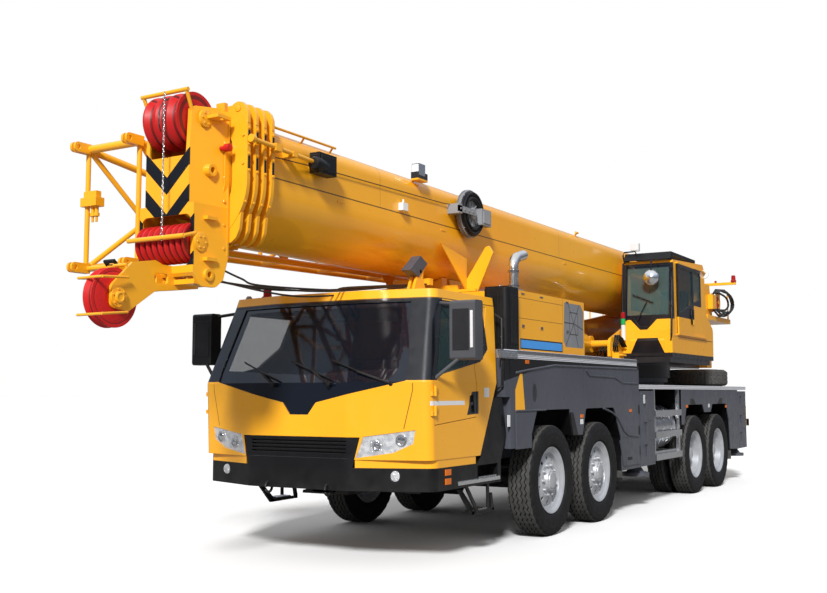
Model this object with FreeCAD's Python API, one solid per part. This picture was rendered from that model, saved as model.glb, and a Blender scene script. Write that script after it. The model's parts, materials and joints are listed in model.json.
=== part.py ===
"""Four-axle truck crane with a five-section telescopic boom, in millimetres.

Stations along X are measured from the first axle while modelling (+X forward, +Y the vehicle's left,
Z = 0 the ground). On export everything moves so that the origin lies under the middle of the whole.
"""
import FreeCAD, Part
import math
import os

V = FreeCAD.Vector

# Running gear
TYRE_R = 613.0
TYRE_W = 310.0
RIM_R = 350.0
RIM_SEAT = 30.0
TWIN_PITCH = 350.0
TYRE_FACE_Y = 1380.0
WHEEL_Y = TYRE_FACE_Y - TYRE_W / 2
AXLES = {"1": 0.0, "2": -1488.0, "3": -5766.0, "4": -7132.0}
STEERED = ("1", "2")
KINGPIN_Y = 985.0
KINGPIN_R = 38.0
AXLE_BEAM_R = 75.0
SEAT = 0.3

# Chassis
BODY_Y = 1375.0
RAIL_Y0, RAIL_Y1 = 300.0, 400.0
RAIL_Z0, RAIL_Z1 = 790.0, 1300.0
FRAME_FRONT, FRAME_REAR = 2500.0, -9120.0
TAIL_X = -9260.0
TANK_REAR = -4850.0
TOW_PIN_R = 25.0
TOW_PIN_Y = 350.0
CAB_RAIL_Z0, CAB_RAIL_Z1 = 695.0, 975.0
DECK_Z = 2040.0
DECK_T = 90.0
DECK_FRONT, DECK_REAR = 1235.0, -2920.0
REAR_DECK_Z = 1700.0
REAR_DECK_T = 60.0
REAR_DECK_FRONT, REAR_DECK_REAR = -3000.0, -9120.0
SKIN = 12.0
FENDER_IN_Y = 470.0

# Outriggers: station of each transverse box
OUTRIGGER_X = {"front": -3355.0, "rear": -8800.0}
BOX_Z0, BOX_Z1 = 860.0, 1260.0
BOX_Y = 1060.0
BOX_WALL = 16.0
BEAM_GAP = 8.0
BEAM_W = 220.0
BEAM_STROKE_OUT = 1850.0
JACK_Y = 1215.0
JACK_R = 85.0
JACK_STROKE = 600.0
FOOT_R = 190.0
FOOT_Z = 440.0

# Slewing gear and boom
SLEW_X = -6000.0
SLEW_R = 820.0
SLEW_Z = 1835.0
BOOM_Z = 3360.0
BOOM_TOP = 540.0
BOOM_W = 470.0
BOOM_WALL = 10.0
BOOM_GAP = 20.0
BOOM_CORNER = 150.0
COLLAR_T = 42.0
COLLAR_PITCH = 107.0
COLLAR_LIP = 62.0
BOOM_REAR = -8000.0
COLLAR_X = 4000.0
SECTION_REAR = -7300.0
PIVOT = (-7500.0, BOOM_Z - 260)
PIVOT_R = 70.0
PLATE_Y0, PLATE_Y1 = 502.0, 545.0
PLATFORM_Z = 2045.0
LUFF_BASE = (-4450.0, PLATFORM_Z + 305)
LUFF_EYE = (0.0, BOOM_Z - 660)
LUFF_PIN_R = 55.0
BARREL_R = 165.0
ROD_R = 105.0
SWING_RATIO = 1.2115
ROD_RATIO = 2.1
TAIL_Y = 700.0
TAIL_END = -9330.0
BEACON_BAR_Z = PIVOT[1] + 490
WINCH_AT = (-8650.0, PLATFORM_Z + 515)
WINCH_R = 290.0

# Boom head: rear end, front face, half widths at the stem, above and below
HEAD_REAR = COLLAR_X + 3 * COLLAR_PITCH + COLLAR_T / 2 + 6
HEAD_FRONT = HEAD_REAR + 374
HEAD_STEM_Y, HEAD_UPPER_Y, HEAD_LOWER_Y = 350.0, 240.0, 300.0
HEAD_TOP, HEAD_LOW = BOOM_Z + 580, BOOM_Z - 890
HEAD_PLATE_T = 22.0
HEAD_PINS = ((HEAD_FRONT - 180, BOOM_Z + 60), (HEAD_FRONT - 160, BOOM_Z - 810))
HEAD_PIN_R = 26.0
HEAD_PIN_Y = 340.0
TOP_SHEAVE = (HEAD_REAR + 240, BOOM_Z + 490)
LOW_SHEAVE = (HEAD_FRONT - 80, BOOM_Z - 550)
ARM_SHEAVE = (HEAD_FRONT + 578, BOOM_Z - 1040)
TOP_SHEAVE_R, LOW_SHEAVE_R, ARM_SHEAVE_R = 235.0, 165.0, 232.0
SHEAVE_BORE = 45.3

# Driver's cab: level, rear x, corner x, nose x, half width
CAB_SECTIONS = [
    (975.3, 1700.0, 2700.0, 2930.0, 1345.0),
    (1690.0, 1330.0, 2740.0, 2900.0, 1345.0),
    (2470.0, 1160.0, 2440.0, 2590.0, 1235.0),
    (2580.0, 1150.0, 2410.0, 2560.0, 1215.0),
]
CAB_WALL = 42.0
CAB_CORNER_R = 95.0
DOOR_GAP = 6.0
GLASS_T = 6.0
GLASS_GAP = 0.3

# Openings of the cab's front as (y, z), of its side as (x, z)
WINDSCREEN = [(-1120, 1700), (-200, 1500), (-110, 1385), (110, 1385), (200, 1500), (1120, 1700),
              (1120, 1800), (1010, 2455), (-1010, 2455), (-1120, 1800)]
HEAD_LAMP = [(655, 990), (1000, 1042), (1185, 1127), (1205, 1250), (720, 1186)]
GRILLE = [(-625, 900), (625, 900), (690, 1180), (-690, 1180)]
LAMP_BOWLS = ((850.0, 1105.0, 74.0), (1075.0, 1160.0, 55.0))
FOG_LAMP = (1000.0, 830.0, 50.0)
DOOR = [(1800, 1350), (2640, 1290), (2660, 1720), (2360, 2470), (1380, 2470), (1530, 2080), (1800, 1850)]
DOOR_WINDOW = [(1930, 1870), (2590, 1740), (2330, 2420), (1440, 2420), (1580, 2100)]
HANDLE = [(1845, 1395), (1975, 1385), (1945, 1560), (1870, 1575)]
HINGE_X = 2650.0
HINGE_R = 14.0
HINGE_PIN_R = 7.0
HINGE_Y = CAB_SECTIONS[0][4] + HINGE_R + 1
HINGE_Z = (1380.0, 1560.0)
BUMPER_Z0, BUMPER_Z1 = 690.0, 900.0
BUMPER = [(1800, -1340, 30), (1800, 1340, 30), (2640, 1340, 120), (2930, 560, 300), (2930, -560, 300),
          (2640, -1340, 120)]
STEP_Z = 440.0

# Hood, boom rest and the operator's cab
TROUGH_Y, TROUGH_Z = 290.0, BOOM_Z - 1070
REST_X, REST_Y = 390.0, 365.0
HOOD_TOP = 2700.0
JIB_ROOT_X = 4450.0
JIB_NEAR_Y = -600.0
JIB_FAR_Y = -1240.0
JIB_UPPER_Z = 3800.0
JIB_LOWER_Z = 2710.0
OP_CAB = [(-4680, 2130), (-4680, 2550), (-4800, 3640), (-6480, 3730, 60), (-6560, 3650), (-6640, 2900),
          (-7040, 2660, 100), (-7020, 2130)]
OP_Y0, OP_Y1 = 565.0, 1346.0
OP_WALL = 30.0
OP_SCREEN = [(600, 2760), (740, 2750), (830, 2610), (960, 2610), (1050, 2760), (1310, 2790), (1310, 3560),
             (620, 3560)]
OP_DOOR_X, OP_DOOR_Z = (-4950.0, -5800.0), (2500.0, 3600.0)
OP_DOOR_WINDOW = [(-5010, 2830), (-5010, 3540), (-5740, 3540), (-5740, 3010)]
OP_REAR_WINDOW = [(-5870, 3040), (-5870, 3560), (-6290, 3560), (-6290, 3130)]
GUARD_Z = 3765.0

PLACES = {
    "x": lambda a, b, c: V(c, a, b),
    "y": lambda a, b, c: V(a, c, b),
    "z": lambda a, b, c: V(a, b, c),
}


def loop(points, axis, level):
    """Closed wire normal to the axis through (a, b) or (a, b, corner radius) points."""
    place = PLACES[axis]
    count = len(points)
    ends = []
    for i, point in enumerate(points):
        here = V(point[0], point[1], 0)
        before = V(points[i - 1][0], points[i - 1][1], 0)
        after = V(points[(i + 1) % count][0], points[(i + 1) % count][1], 0)
        radius = point[2] if len(point) > 2 else 0
        if not radius:
            ends.append((here, here, None))
            continue
        back, on = (before - here).normalize(), (after - here).normalize()
        half = back.getAngle(on) / 2
        reach = radius / math.tan(half)
        centre = here + (back + on).normalize() * (radius / math.sin(half))
        middle = centre + (here - centre).normalize() * radius
        ends.append((here + back * reach, here + on * reach, middle))
    edges = []
    for i, (start, stop, middle) in enumerate(ends):
        spot = [place(p.x, p.y, level) for p in (start, stop)]
        if middle is not None:
            edges.append(Part.Arc(spot[0], place(middle.x, middle.y, level), spot[1]).toShape())
        following = ends[(i + 1) % count][0]
        target = place(following.x, following.y, level)
        if spot[1].distanceToPoint(target) > 1e-6:
            edges.append(Part.LineSegment(spot[1], target).toShape())
    return Part.Wire(edges)


def prism(points, axis, low, high):
    """Solid of one outline between two levels of an axis."""
    face = Part.Face(loop(points, axis, low))
    return face.extrude(PLACES[axis](0, 0, high - low))


def box(x0, x1, y0, y1, z0, z1):
    return Part.makeBox(x1 - x0, y1 - y0, z1 - z0, V(x0, y0, z0))


def bar(start, end, radius):
    """Round bar between two points."""
    a, b = V(*start), V(*end)
    return Part.makeCylinder(radius, a.distanceToPoint(b), a, b - a)


def tube(start, end, outer, inner):
    return bar(start, end, outer).cut(bar(start, end, inner))


def cross(x, z, y0, y1, radius):
    """Round bar across the vehicle."""
    return bar((x, y0, z), (x, y1, z), radius)


def spin(profile, x, z):
    """Ring about an axis across the vehicle from (y, radius) points."""
    points = [V(x, y, z + r) for y, r in profile]
    face = Part.Face(Part.makePolygon(points + points[:1]))
    return face.revolve(V(x, 0, z), V(0, 1, 0), 360)


def fuse(pieces):
    pieces = list(pieces)
    return pieces[0].multiFuse(pieces[1:]).removeSplitter()


def cut(body, pieces):
    return body.cut(Part.makeCompound(list(pieces)))


def mirrored(piece):
    return piece.mirror(V(0, 0, 0), V(0, 1, 0))


def pair(piece):
    return Part.makeCompound([piece, mirrored(piece)])


# Wheels
def tyre(centre_y, x):
    half = TYRE_W / 2
    profile = [(-0.62 * half, RIM_R - RIM_SEAT), (-0.8 * half, RIM_R + 20), (-half, RIM_R + 110),
               (-0.93 * half, TYRE_R - 45), (-0.74 * half, TYRE_R), (0.74 * half, TYRE_R),
               (0.93 * half, TYRE_R - 45), (half, RIM_R + 110), (0.8 * half, RIM_R + 20),
               (0.62 * half, RIM_R - RIM_SEAT)]
    return spin([(centre_y + y, r) for y, r in profile], x, TYRE_R)


def rim(centre_y, x, dish_y, hub_y):
    """Rim barrel with its disc at dish_y and its hub out to hub_y."""
    half = TYRE_W / 2 * 0.62
    barrel = spin([(centre_y - half, RIM_R - RIM_SEAT - SEAT), (centre_y + half, RIM_R - RIM_SEAT - SEAT),
                   (centre_y + half, RIM_R - RIM_SEAT - 16), (centre_y - half, RIM_R - RIM_SEAT - 16)],
                  x, TYRE_R)
    disc = spin([(dish_y - 8, 0), (dish_y - 8, RIM_R - 40), (dish_y + 8, RIM_R - 40), (dish_y + 8, 0)],
                x, TYRE_R)
    step = math.copysign(1, hub_y - dish_y)
    hub = spin([(dish_y, 0), (dish_y, 115), (hub_y - step * 25, 105), (hub_y, 80), (hub_y, 0)], x, TYRE_R)
    holes = []
    for i in range(8):
        turn = math.radians(45 * i + 22.5)
        holes.append(cross(x + 215 * math.sin(turn), TYRE_R + 215 * math.cos(turn),
                           dish_y - 40, dish_y + 40, 34))
    return cut(fuse([barrel, disc, hub]), holes)


def wheels(parts):
    for name, x in AXLES.items():
        for side, sign in (("left", 1), ("right", -1)):
            flip = (lambda s: s) if sign > 0 else mirrored
            if name in STEERED:
                wheel = [tyre(WHEEL_Y, x), rim(WHEEL_Y, x, WHEEL_Y + 62, WHEEL_Y + 148)]
            else:
                inner_y = WHEEL_Y - TWIN_PITCH
                outer = rim(WHEEL_Y, x, WHEEL_Y - 90, WHEEL_Y + 60)
                barrel_r = RIM_R - RIM_SEAT
                inner = spin([(inner_y - 96, barrel_r - SEAT), (inner_y + 96, barrel_r - SEAT),
                              (inner_y + 96, barrel_r - 16), (inner_y - 96, barrel_r - 16)], x, TYRE_R)
                web = spin([(inner_y + 90, 0), (inner_y + 90, RIM_R - 40), (inner_y + 104, RIM_R - 40),
                            (inner_y + 104, 0)], x, TYRE_R)
                hub = cross(x, TYRE_R, inner_y + 97, WHEEL_Y - 90, 140)
                wheel = [tyre(WHEEL_Y, x), tyre(inner_y, x), fuse([outer, inner, web, hub])]
            parts[f"wheel_{name}_{side}"] = flip(Part.makeCompound(wheel))


def knuckle(x):
    """Steering knuckle on its kingpin, with the spindle that carries the hub."""
    carrier = box(x - 75, x + 75, KINGPIN_Y - 60, KINGPIN_Y + 85, TYRE_R - 145, TYRE_R + 145)
    fork = box(x - 90, x + 90, KINGPIN_Y - 80, KINGPIN_Y + 50, TYRE_R - 88, TYRE_R + 88)
    spindle = cross(x, TYRE_R, KINGPIN_Y + 55, WHEEL_Y + 62 - 8 - SEAT, 62)
    flange = cross(x, TYRE_R, KINGPIN_Y + 80, KINGPIN_Y + 105, 150)
    arm = box(x - 260, x - 40, KINGPIN_Y - 30, KINGPIN_Y + 20, TYRE_R - 140, TYRE_R - 105)
    body = fuse([carrier, spindle, flange, arm]).cut(fork)
    return body.cut(bar((x, KINGPIN_Y, TYRE_R - 200), (x, KINGPIN_Y, TYRE_R + 200), KINGPIN_R + SEAT))


def axle(x, steered):
    """Axle beam with its differential and its spring stacks up to the frame."""
    reach = KINGPIN_Y - 5 if steered else WHEEL_Y - TWIN_PITCH + 90 - SEAT
    beam = cross(x, TYRE_R, -reach, reach, AXLE_BEAM_R)
    pieces = [beam, Part.makeSphere(200, V(x, 0, TYRE_R))]
    for side in (1, -1):
        if steered:
            pieces.append(bar((x, side * KINGPIN_Y, TYRE_R - 140), (x, side * KINGPIN_Y, TYRE_R + 140), KINGPIN_R))
        y0, y1 = sorted((side * (RAIL_Y0 + 10), side * (RAIL_Y1 - 10)))
        pieces.append(box(x - 450, x + 450, y0, y1, TYRE_R + 60, TYRE_R + 120))
        for end in (-410, 410):
            pieces.append(box(x + end - 40, x + end + 40, y0, y1, TYRE_R + 110, RAIL_Z0 - SEAT))
    return fuse(pieces)


def axles(parts):
    parts["axles"] = Part.makeCompound([axle(x, name in STEERED) for name, x in AXLES.items()])
    for name, x in AXLES.items():
        if name in STEERED:
            parts[f"knuckle_{name}_left"] = knuckle(x)
            parts[f"knuckle_{name}_right"] = mirrored(knuckle(x))


# Chassis frame with slewing pedestal and outrigger boxes
def outrigger_bays(x):
    """Inner spaces of one transverse box: the front bay is the left beam's."""
    width = BEAM_W + 2 * BEAM_GAP
    front = box(x + BOX_WALL / 2, x + BOX_WALL / 2 + width, -BOX_Y - 1, BOX_Y + 1,
                BOX_Z0 + BOX_WALL, BOX_Z1 - BOX_WALL)
    rear = box(x - BOX_WALL / 2 - width, x - BOX_WALL / 2, -BOX_Y - 1, BOX_Y + 1,
               BOX_Z0 + BOX_WALL, BOX_Z1 - BOX_WALL)
    return front, rear


def chassis_frame():
    """Ladder frame with pedestal and outrigger boxes; the front rails and the tail are pieces of their own."""
    main, front = [], []
    joint = 1500.0
    for side in (1, -1):
        y0, y1 = sorted((side * RAIL_Y0, side * RAIL_Y1))
        outline = [(FRAME_REAR, RAIL_Z0), (joint - 350, RAIL_Z0), (joint, CAB_RAIL_Z0), (joint, CAB_RAIL_Z1),
                   (joint - 350, RAIL_Z1), (FRAME_REAR, RAIL_Z1)]
        main.append(prism(outline, "y", y0, y1))
        front.append(box(joint + SEAT, FRAME_FRONT, y0, y1, CAB_RAIL_Z0, CAB_RAIL_Z1))
    front.append(box(2250, 2370, -RAIL_Y1, RAIL_Y1, CAB_RAIL_Z0 + 100, CAB_RAIL_Z1 - 50))
    for x in (1000, -2200, -4300, -5000, -6500, -7700):
        main.append(box(x - 60, x + 60, -RAIL_Y1, RAIL_Y1, RAIL_Z0 + 40, CAB_RAIL_Z1 - 50))
    main.append(box(SLEW_X - 950, SLEW_X + 950, -RAIL_Y1, RAIL_Y1, RAIL_Z1 - 20, REAR_DECK_Z - REAR_DECK_T))
    main.append(bar((SLEW_X, 0, RAIL_Z1 + 125), (SLEW_X, 0, SLEW_Z - 60), SLEW_R - 60))
    main.append(bar((SLEW_X, 0, SLEW_Z - 75), (SLEW_X, 0, SLEW_Z - SEAT), SLEW_R))
    spaces = []
    for x in OUTRIGGER_X.values():
        half = BEAM_W + 2 * BEAM_GAP + BOX_WALL * 1.5
        main.append(box(x - half, x + half, -BOX_Y, BOX_Y, BOX_Z0, BOX_Z1))
        spaces.extend(outrigger_bays(x))
    tail_top = BOX_Z0
    tail = [box(TAIL_X, FRAME_REAR - SEAT, -1300, 1300, tail_top - 220, tail_top),
            box(TAIL_X + 80, FRAME_REAR - SEAT, -RAIL_Y1, RAIL_Y1, tail_top - 260, RAIL_Z1)]
    holes = [bar((FRAME_FRONT - 60, y, CAB_RAIL_Z0 - 5), (FRAME_FRONT - 60, y, CAB_RAIL_Z1 + 5), TOW_PIN_R)
             for y in (TOW_PIN_Y, -TOW_PIN_Y)]
    return Part.makeCompound([cut(fuse(main), spaces), cut(fuse(front), holes), fuse(tail)])


def outrigger(x, bay):
    """Left-going beam with its end cover and jack sleeve, and the jack that slides in it."""
    x0 = x + BOX_WALL / 2 + BEAM_GAP if bay == "front" else x - BOX_WALL / 2 - BEAM_GAP - BEAM_W
    x1 = x0 + BEAM_W
    middle = (x0 + x1) / 2
    z0, z1 = BOX_Z0 + BOX_WALL + BEAM_GAP, BOX_Z1 - BOX_WALL - BEAM_GAP
    inner_end = -BOX_Y + 60
    beam = box(x0, x1, inner_end, JACK_Y, z0, z1)
    sleeve = bar((middle, JACK_Y, z0 - 60), (middle, JACK_Y, z1 + 330), JACK_R + 22)
    bore = bar((middle, JACK_Y, z0 - 200), (middle, JACK_Y, z1 + 300), JACK_R + 1)
    pads = box(x0, x1, inner_end, inner_end + 120, z0 - BEAM_GAP + SEAT, z1 + BEAM_GAP - SEAT)
    cover = box(x - 290, x + 290, JACK_Y + JACK_R + 30, BODY_Y, 580, 1615)
    pockets = []
    for z in (1350, 1010, 700):
        pockets.append(prism([(x + 40, z), (x + 190, z + 40), (x + 190, z + 170), (x + 40, z + 170)], "y",
                             JACK_Y + JACK_R + 60, BODY_Y + 10))
    ties = box(middle - 60, middle + 60, JACK_Y + 40, JACK_Y + JACK_R + 40, z0, z1)
    body = cut(fuse([beam, pads, sleeve, cover, ties]), pockets + [bore])
    jack = bar((middle, JACK_Y, FOOT_Z + 60), (middle, JACK_Y, z1 + 280), JACK_R)
    foot = bar((middle, JACK_Y, FOOT_Z), (middle, JACK_Y, FOOT_Z + 50), FOOT_R)
    cone = Part.makeCone(FOOT_R * 0.7, JACK_R, 70, V(middle, JACK_Y, FOOT_Z + 45))
    return body, fuse([jack, foot, cone])


def outriggers(parts):
    for row, x in OUTRIGGER_X.items():
        beam, jack = outrigger(x, "front")
        parts[f"outrigger_{row}_left"] = beam
        parts[f"jack_{row}_left"] = jack
        beam, jack = outrigger(x, "rear")
        parts[f"outrigger_{row}_right"] = mirrored(beam)
        parts[f"jack_{row}_right"] = mirrored(jack)


# Deck, fenders, tank and hood
def decks(parts):
    front = box(DECK_REAR, DECK_FRONT, -BODY_Y, BODY_Y, DECK_Z - DECK_T, DECK_Z)
    engine_hole = box(-930, 730, -340, 340, DECK_Z - 200, DECK_Z + 50)
    hangers = [box(x - 40, x + 40, -RAIL_Y1, RAIL_Y1, RAIL_Z1 + SEAT, DECK_Z - DECK_T + 1)
               for x in (950, -1250, DECK_REAR + 320)]
    front = cut(fuse([front] + hangers), [engine_hole] + rest_holes(DECK_Z + 50))
    back = box(REAR_DECK_REAR, REAR_DECK_FRONT - 5, -BODY_Y, BODY_Y, REAR_DECK_Z - REAR_DECK_T, REAR_DECK_Z)
    ring = bar((SLEW_X, 0, REAR_DECK_Z - 100), (SLEW_X, 0, REAR_DECK_Z + 20), SLEW_R + 25)
    base = box(SLEW_X - 951, SLEW_X + 951, -RAIL_Y1 - 1, RAIL_Y1 + 1, REAR_DECK_Z - 200, REAR_DECK_Z - REAR_DECK_T)
    legs = [box(x - 60, x + 60, -RAIL_Y1, RAIL_Y1, RAIL_Z1 + SEAT, REAR_DECK_Z - REAR_DECK_T + 1)
            for x in (-3900, -4600, -7300, -8300, -9000)]
    back = cut(fuse([back] + legs), [ring, base])
    parts["decks"] = Part.makeCompound([front, back])


def rest_holes(top):
    """Clearance round the boom rest's two legs, up to a level."""
    return [box(REST_X - 75, REST_X + 75, y - 60, y + 60, DECK_Z - 200, top) for y in (-REST_Y, REST_Y)]


def front_fender():
    """Left front fender skin with its wheel arches open below."""
    top = DECK_Z - DECK_T - SEAT
    rear = OUTRIGGER_X["front"] + 365
    outline = [(1100, top), (rear, top), (rear, 575), (-2260, 575), (-2240, 1000, 60), (-1990, 1400, 120),
               (-1010, 1400, 40), (-900, 1090, 20), (-600, 1090, 20), (-500, 1400, 40), (430, 1400),
               (650, 1010), (1100, 1010)]
    inner = [(1088, top + 1), (rear + 12, top + 1), (rear + 12, 587), (-2272, 587), (-2252, 1005, 60),
             (-1998, 1412, 120), (-1002, 1412, 40), (-892, 1102, 20), (-608, 1102, 20), (-508, 1412, 40),
             (436, 1412), (658, 1022), (1088, 1022)]
    solid = prism(outline, "y", FENDER_IN_Y, BODY_Y)
    return solid.cut(prism(inner, "y", FENDER_IN_Y - 1, BODY_Y - SKIN))


def rear_fender():
    """Left rear skin: arches over the twin wheels, then the rear locker."""
    top = REAR_DECK_Z - REAR_DECK_T - SEAT
    rear = OUTRIGGER_X["rear"] + 320
    outline = [(-5000, top), (rear, top), (rear, 575), (-7880, 600), (-7830, 1100, 60), (-7650, 1400, 120),
               (-6750, 1400, 40), (-6640, 1270, 20), (-6260, 1270, 20), (-6150, 1400, 40), (-5250, 1400, 120),
               (-5110, 1100, 40), (-5000, 1100)]
    inner = [(-5012, top + 1), (rear + 12, top + 1), (rear + 12, 587), (-7892, 612), (-7842, 1105, 60),
             (-7657, 1412, 120), (-6742, 1412, 40), (-6632, 1282, 20), (-6268, 1282, 20), (-6158, 1412, 40),
             (-5245, 1412, 120), (-5102, 1112, 40), (-5012, 1112)]
    solid = prism(outline, "y", FENDER_IN_Y, BODY_Y)
    return solid.cut(prism(inner, "y", FENDER_IN_Y - 1, BODY_Y - SKIN))


def cab_post():
    """Square post under the deck, just behind the cab."""
    return box(1100 + SEAT, 1230, 1150, BODY_Y - 3, 1545, DECK_Z - DECK_T - SEAT)


def tank():
    """Silver fuel tank on the left with three guard rails and two straps."""
    x0, x1 = TANK_REAR, OUTRIGGER_X["front"] - 425
    drum = bar((x0, 980, 1080), (x1, 980, 1080), 330)
    rails = [box(x0 - 120, x1 + 70, 1345, BODY_Y, z - 45, z + 45) for z in (1290, 985, 665)]
    posts = [box(x, x + 60, 1300, 1346, 620, REAR_DECK_Z - REAR_DECK_T - SEAT) for x in (x0 - 110, x1 + 10)]
    hangers = [box(x, x + 60, RAIL_Y1 + SEAT, 760, 1000, 1160) for x in (x0 + 150, x1 - 210)]
    shelves = [box(x, x + 60, 980, 1310, 700, 745) for x in (x0 + 150, x1 - 210)]
    joins = [box(x0 - 110, x1 + 70, 1290, 1330, 700, 745)]
    saddles = [box(x, x + 60, 880, 1080, 740, 800) for x in (x0 + 150, x1 - 210)]
    straps = [tube((x, 980, 1080), (x + 50, 980, 1080), 336, 329) for x in (x0 + 130, x1 - 190)]
    return fuse([drum] + rails + posts + hangers + shelves + joins + saddles + straps)


def engine_hood():
    """Hood over the engine with a trough for the luffing cylinder."""
    front, rear, top, width = 810.0, -1190.0, HOOD_TOP, 1300.0
    skin = box(rear, front, -width, width, DECK_Z + SEAT, top)
    inside = box(rear + SKIN, front - SKIN, -width + SKIN, width - SKIN, DECK_Z - 1, top - SKIN)
    trough = box(rear - 1, front + 1, -TROUGH_Y, TROUGH_Y, TROUGH_Z, top + 1)
    lining = box(rear, front, -TROUGH_Y - SKIN, TROUGH_Y + SKIN, TROUGH_Z - SKIN, top - SKIN / 2)
    return cut(fuse([skin.cut(inside), lining]), [trough] + rest_holes(top + 1))


def boom_rest():
    """Portal that carries the lowered boom, with flared guides beside it."""
    low = BOOM_Z - 615
    x0, x1 = REST_X - 60, REST_X + 60
    legs = [box(x0, x1, y - 45, y + 45, RAIL_Z1 + SEAT, low + 35) for y in (-REST_Y, REST_Y)]
    beam = box(x0, x1, -REST_Y - 45, REST_Y + 45, low - 5, low + 85)
    seat = cut(box(x0, x1, -200, 200, low + 80, low + 215),
               [bar((x0 - 40, 0, BOOM_Z), (x1 + 40, 0, BOOM_Z), BOOM_W + 6)])
    guide = prism([(400, low), (640, low), (840, low + 435), (790, low + 515), (745, low + 505)], "x",
                  REST_X - 20, REST_X + 10)
    gusset = prism([(REST_X, low + 5), (REST_X, low + 385), (REST_X + 620, low + 495)], "y", 485, 500)
    foot = box(x0, x1, 400, 640, low, low + 30)
    low_guide = prism([(400, low), (560, low), (600, low + 155), (520, low + 155)], "x", REST_X - 20, REST_X + 10)
    left = fuse([guide, gusset, foot])
    right = mirrored(fuse([low_guide, gusset, foot]))
    return fuse(legs + [beam, seat, left, right])


def engine_block():
    """Engine as one block on four mounts between the frame rails."""
    mounts = [box(x, x + 120, -RAIL_Y0 + SEAT, RAIL_Y0 - SEAT, 1150, 1220) for x in (-700, 400)]
    return fuse([box(-850, 650, -270, 270, 1000, 2150)] + mounts)


def stacks(parts):
    """Intake column and exhaust stack behind the cab on the left."""
    column = prism([(1140, 1080, 60), (1140, 1372, 60), (822, 1372, 60), (822, 1080, 60)], "z", DECK_Z + 0.3, 2690)
    parts["intake_column"] = column
    pipe = bar((630, 1200, 2700.3), (630, 1200, 2950), 57)
    bend = Part.Face(Part.Wire(Part.makeCircle(57, V(630, 1200, 2950), V(0, 0, 1))))
    bend = bend.revolve(V(490, 1200, 2950), V(0, -1, 0), 75)
    turn = math.radians(75)
    end = V(490 + 140 * math.cos(turn), 1200, 2950 + 140 * math.sin(turn))
    away = V(-math.sin(turn), 0, math.cos(turn))
    tip = Part.makeCylinder(57, 170, end, away)
    parts["exhaust_stack"] = fuse([pipe, bend, tip, bar((630, 1200, 2700.3), (630, 1200, 2712), 95)])


def spare_wheel():
    ring = spin([(y, r) for y, r in [(-95, 320), (-TYRE_W / 2, 460), (-140, TYRE_R - 40), (-110, TYRE_R),
                                     (110, TYRE_R), (140, TYRE_R - 40), (TYRE_W / 2, 460), (95, 320)]], 0, 0)
    plate = cross(0, 0, -10, 10, 330)
    wheel = fuse([ring, plate])
    wheel.rotate(V(0, 0, 0), V(1, 0, 0), 90)
    wheel.translate(V(-8200, 640, REAR_DECK_Z + 0.3 + TYRE_W / 2))
    return wheel


# Driver's cab
def cab_form(inset, low=None, high=None):
    """Solid of the cab's outer form, pushed in by an inset."""
    rings = []
    rows = CAB_SECTIONS
    for i, (z, rear, corner, nose, half) in enumerate(rows):
        level = z + inset if i == 0 else z - inset if i == len(rows) - 1 else z
        w, r, c, n = half - inset, rear + inset, corner - inset * 0.6, nose - inset
        rings.append(loop([(r, -w, 40), (r, w, 40), (c, w, CAB_CORNER_R), (n, w * 0.42, 300),
                           (n, -w * 0.42, 300), (c, -w, CAB_CORNER_R)], "z", level))
    return Part.makeLoft(rings, True, True)


def door_hinges():
    """Hinge halves as (shell pieces, door pieces): a pin on the shell in a sleeve on the door."""
    shell, door = [], []
    skin = CAB_SECTIONS[0][4]
    for z in HINGE_Z:
        middle, top = z + 40, z + 90
        shell.append(bar((HINGE_X, HINGE_Y, z), (HINGE_X, HINGE_Y, middle), HINGE_R))
        shell.append(bar((HINGE_X, HINGE_Y, z), (HINGE_X, HINGE_Y, top), HINGE_PIN_R))
        shell.append(box(HINGE_X + 2, HINGE_X + 50, skin - 8, HINGE_Y, z, middle))
        door.append(tube((HINGE_X, HINGE_Y, middle + SEAT), (HINGE_X, HINGE_Y, top), HINGE_R, HINGE_PIN_R + SEAT))
        door.append(box(HINGE_X - 50, HINGE_X - HINGE_PIN_R - 2, skin - 8, HINGE_Y, middle + SEAT, top))
    return shell, door


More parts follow.
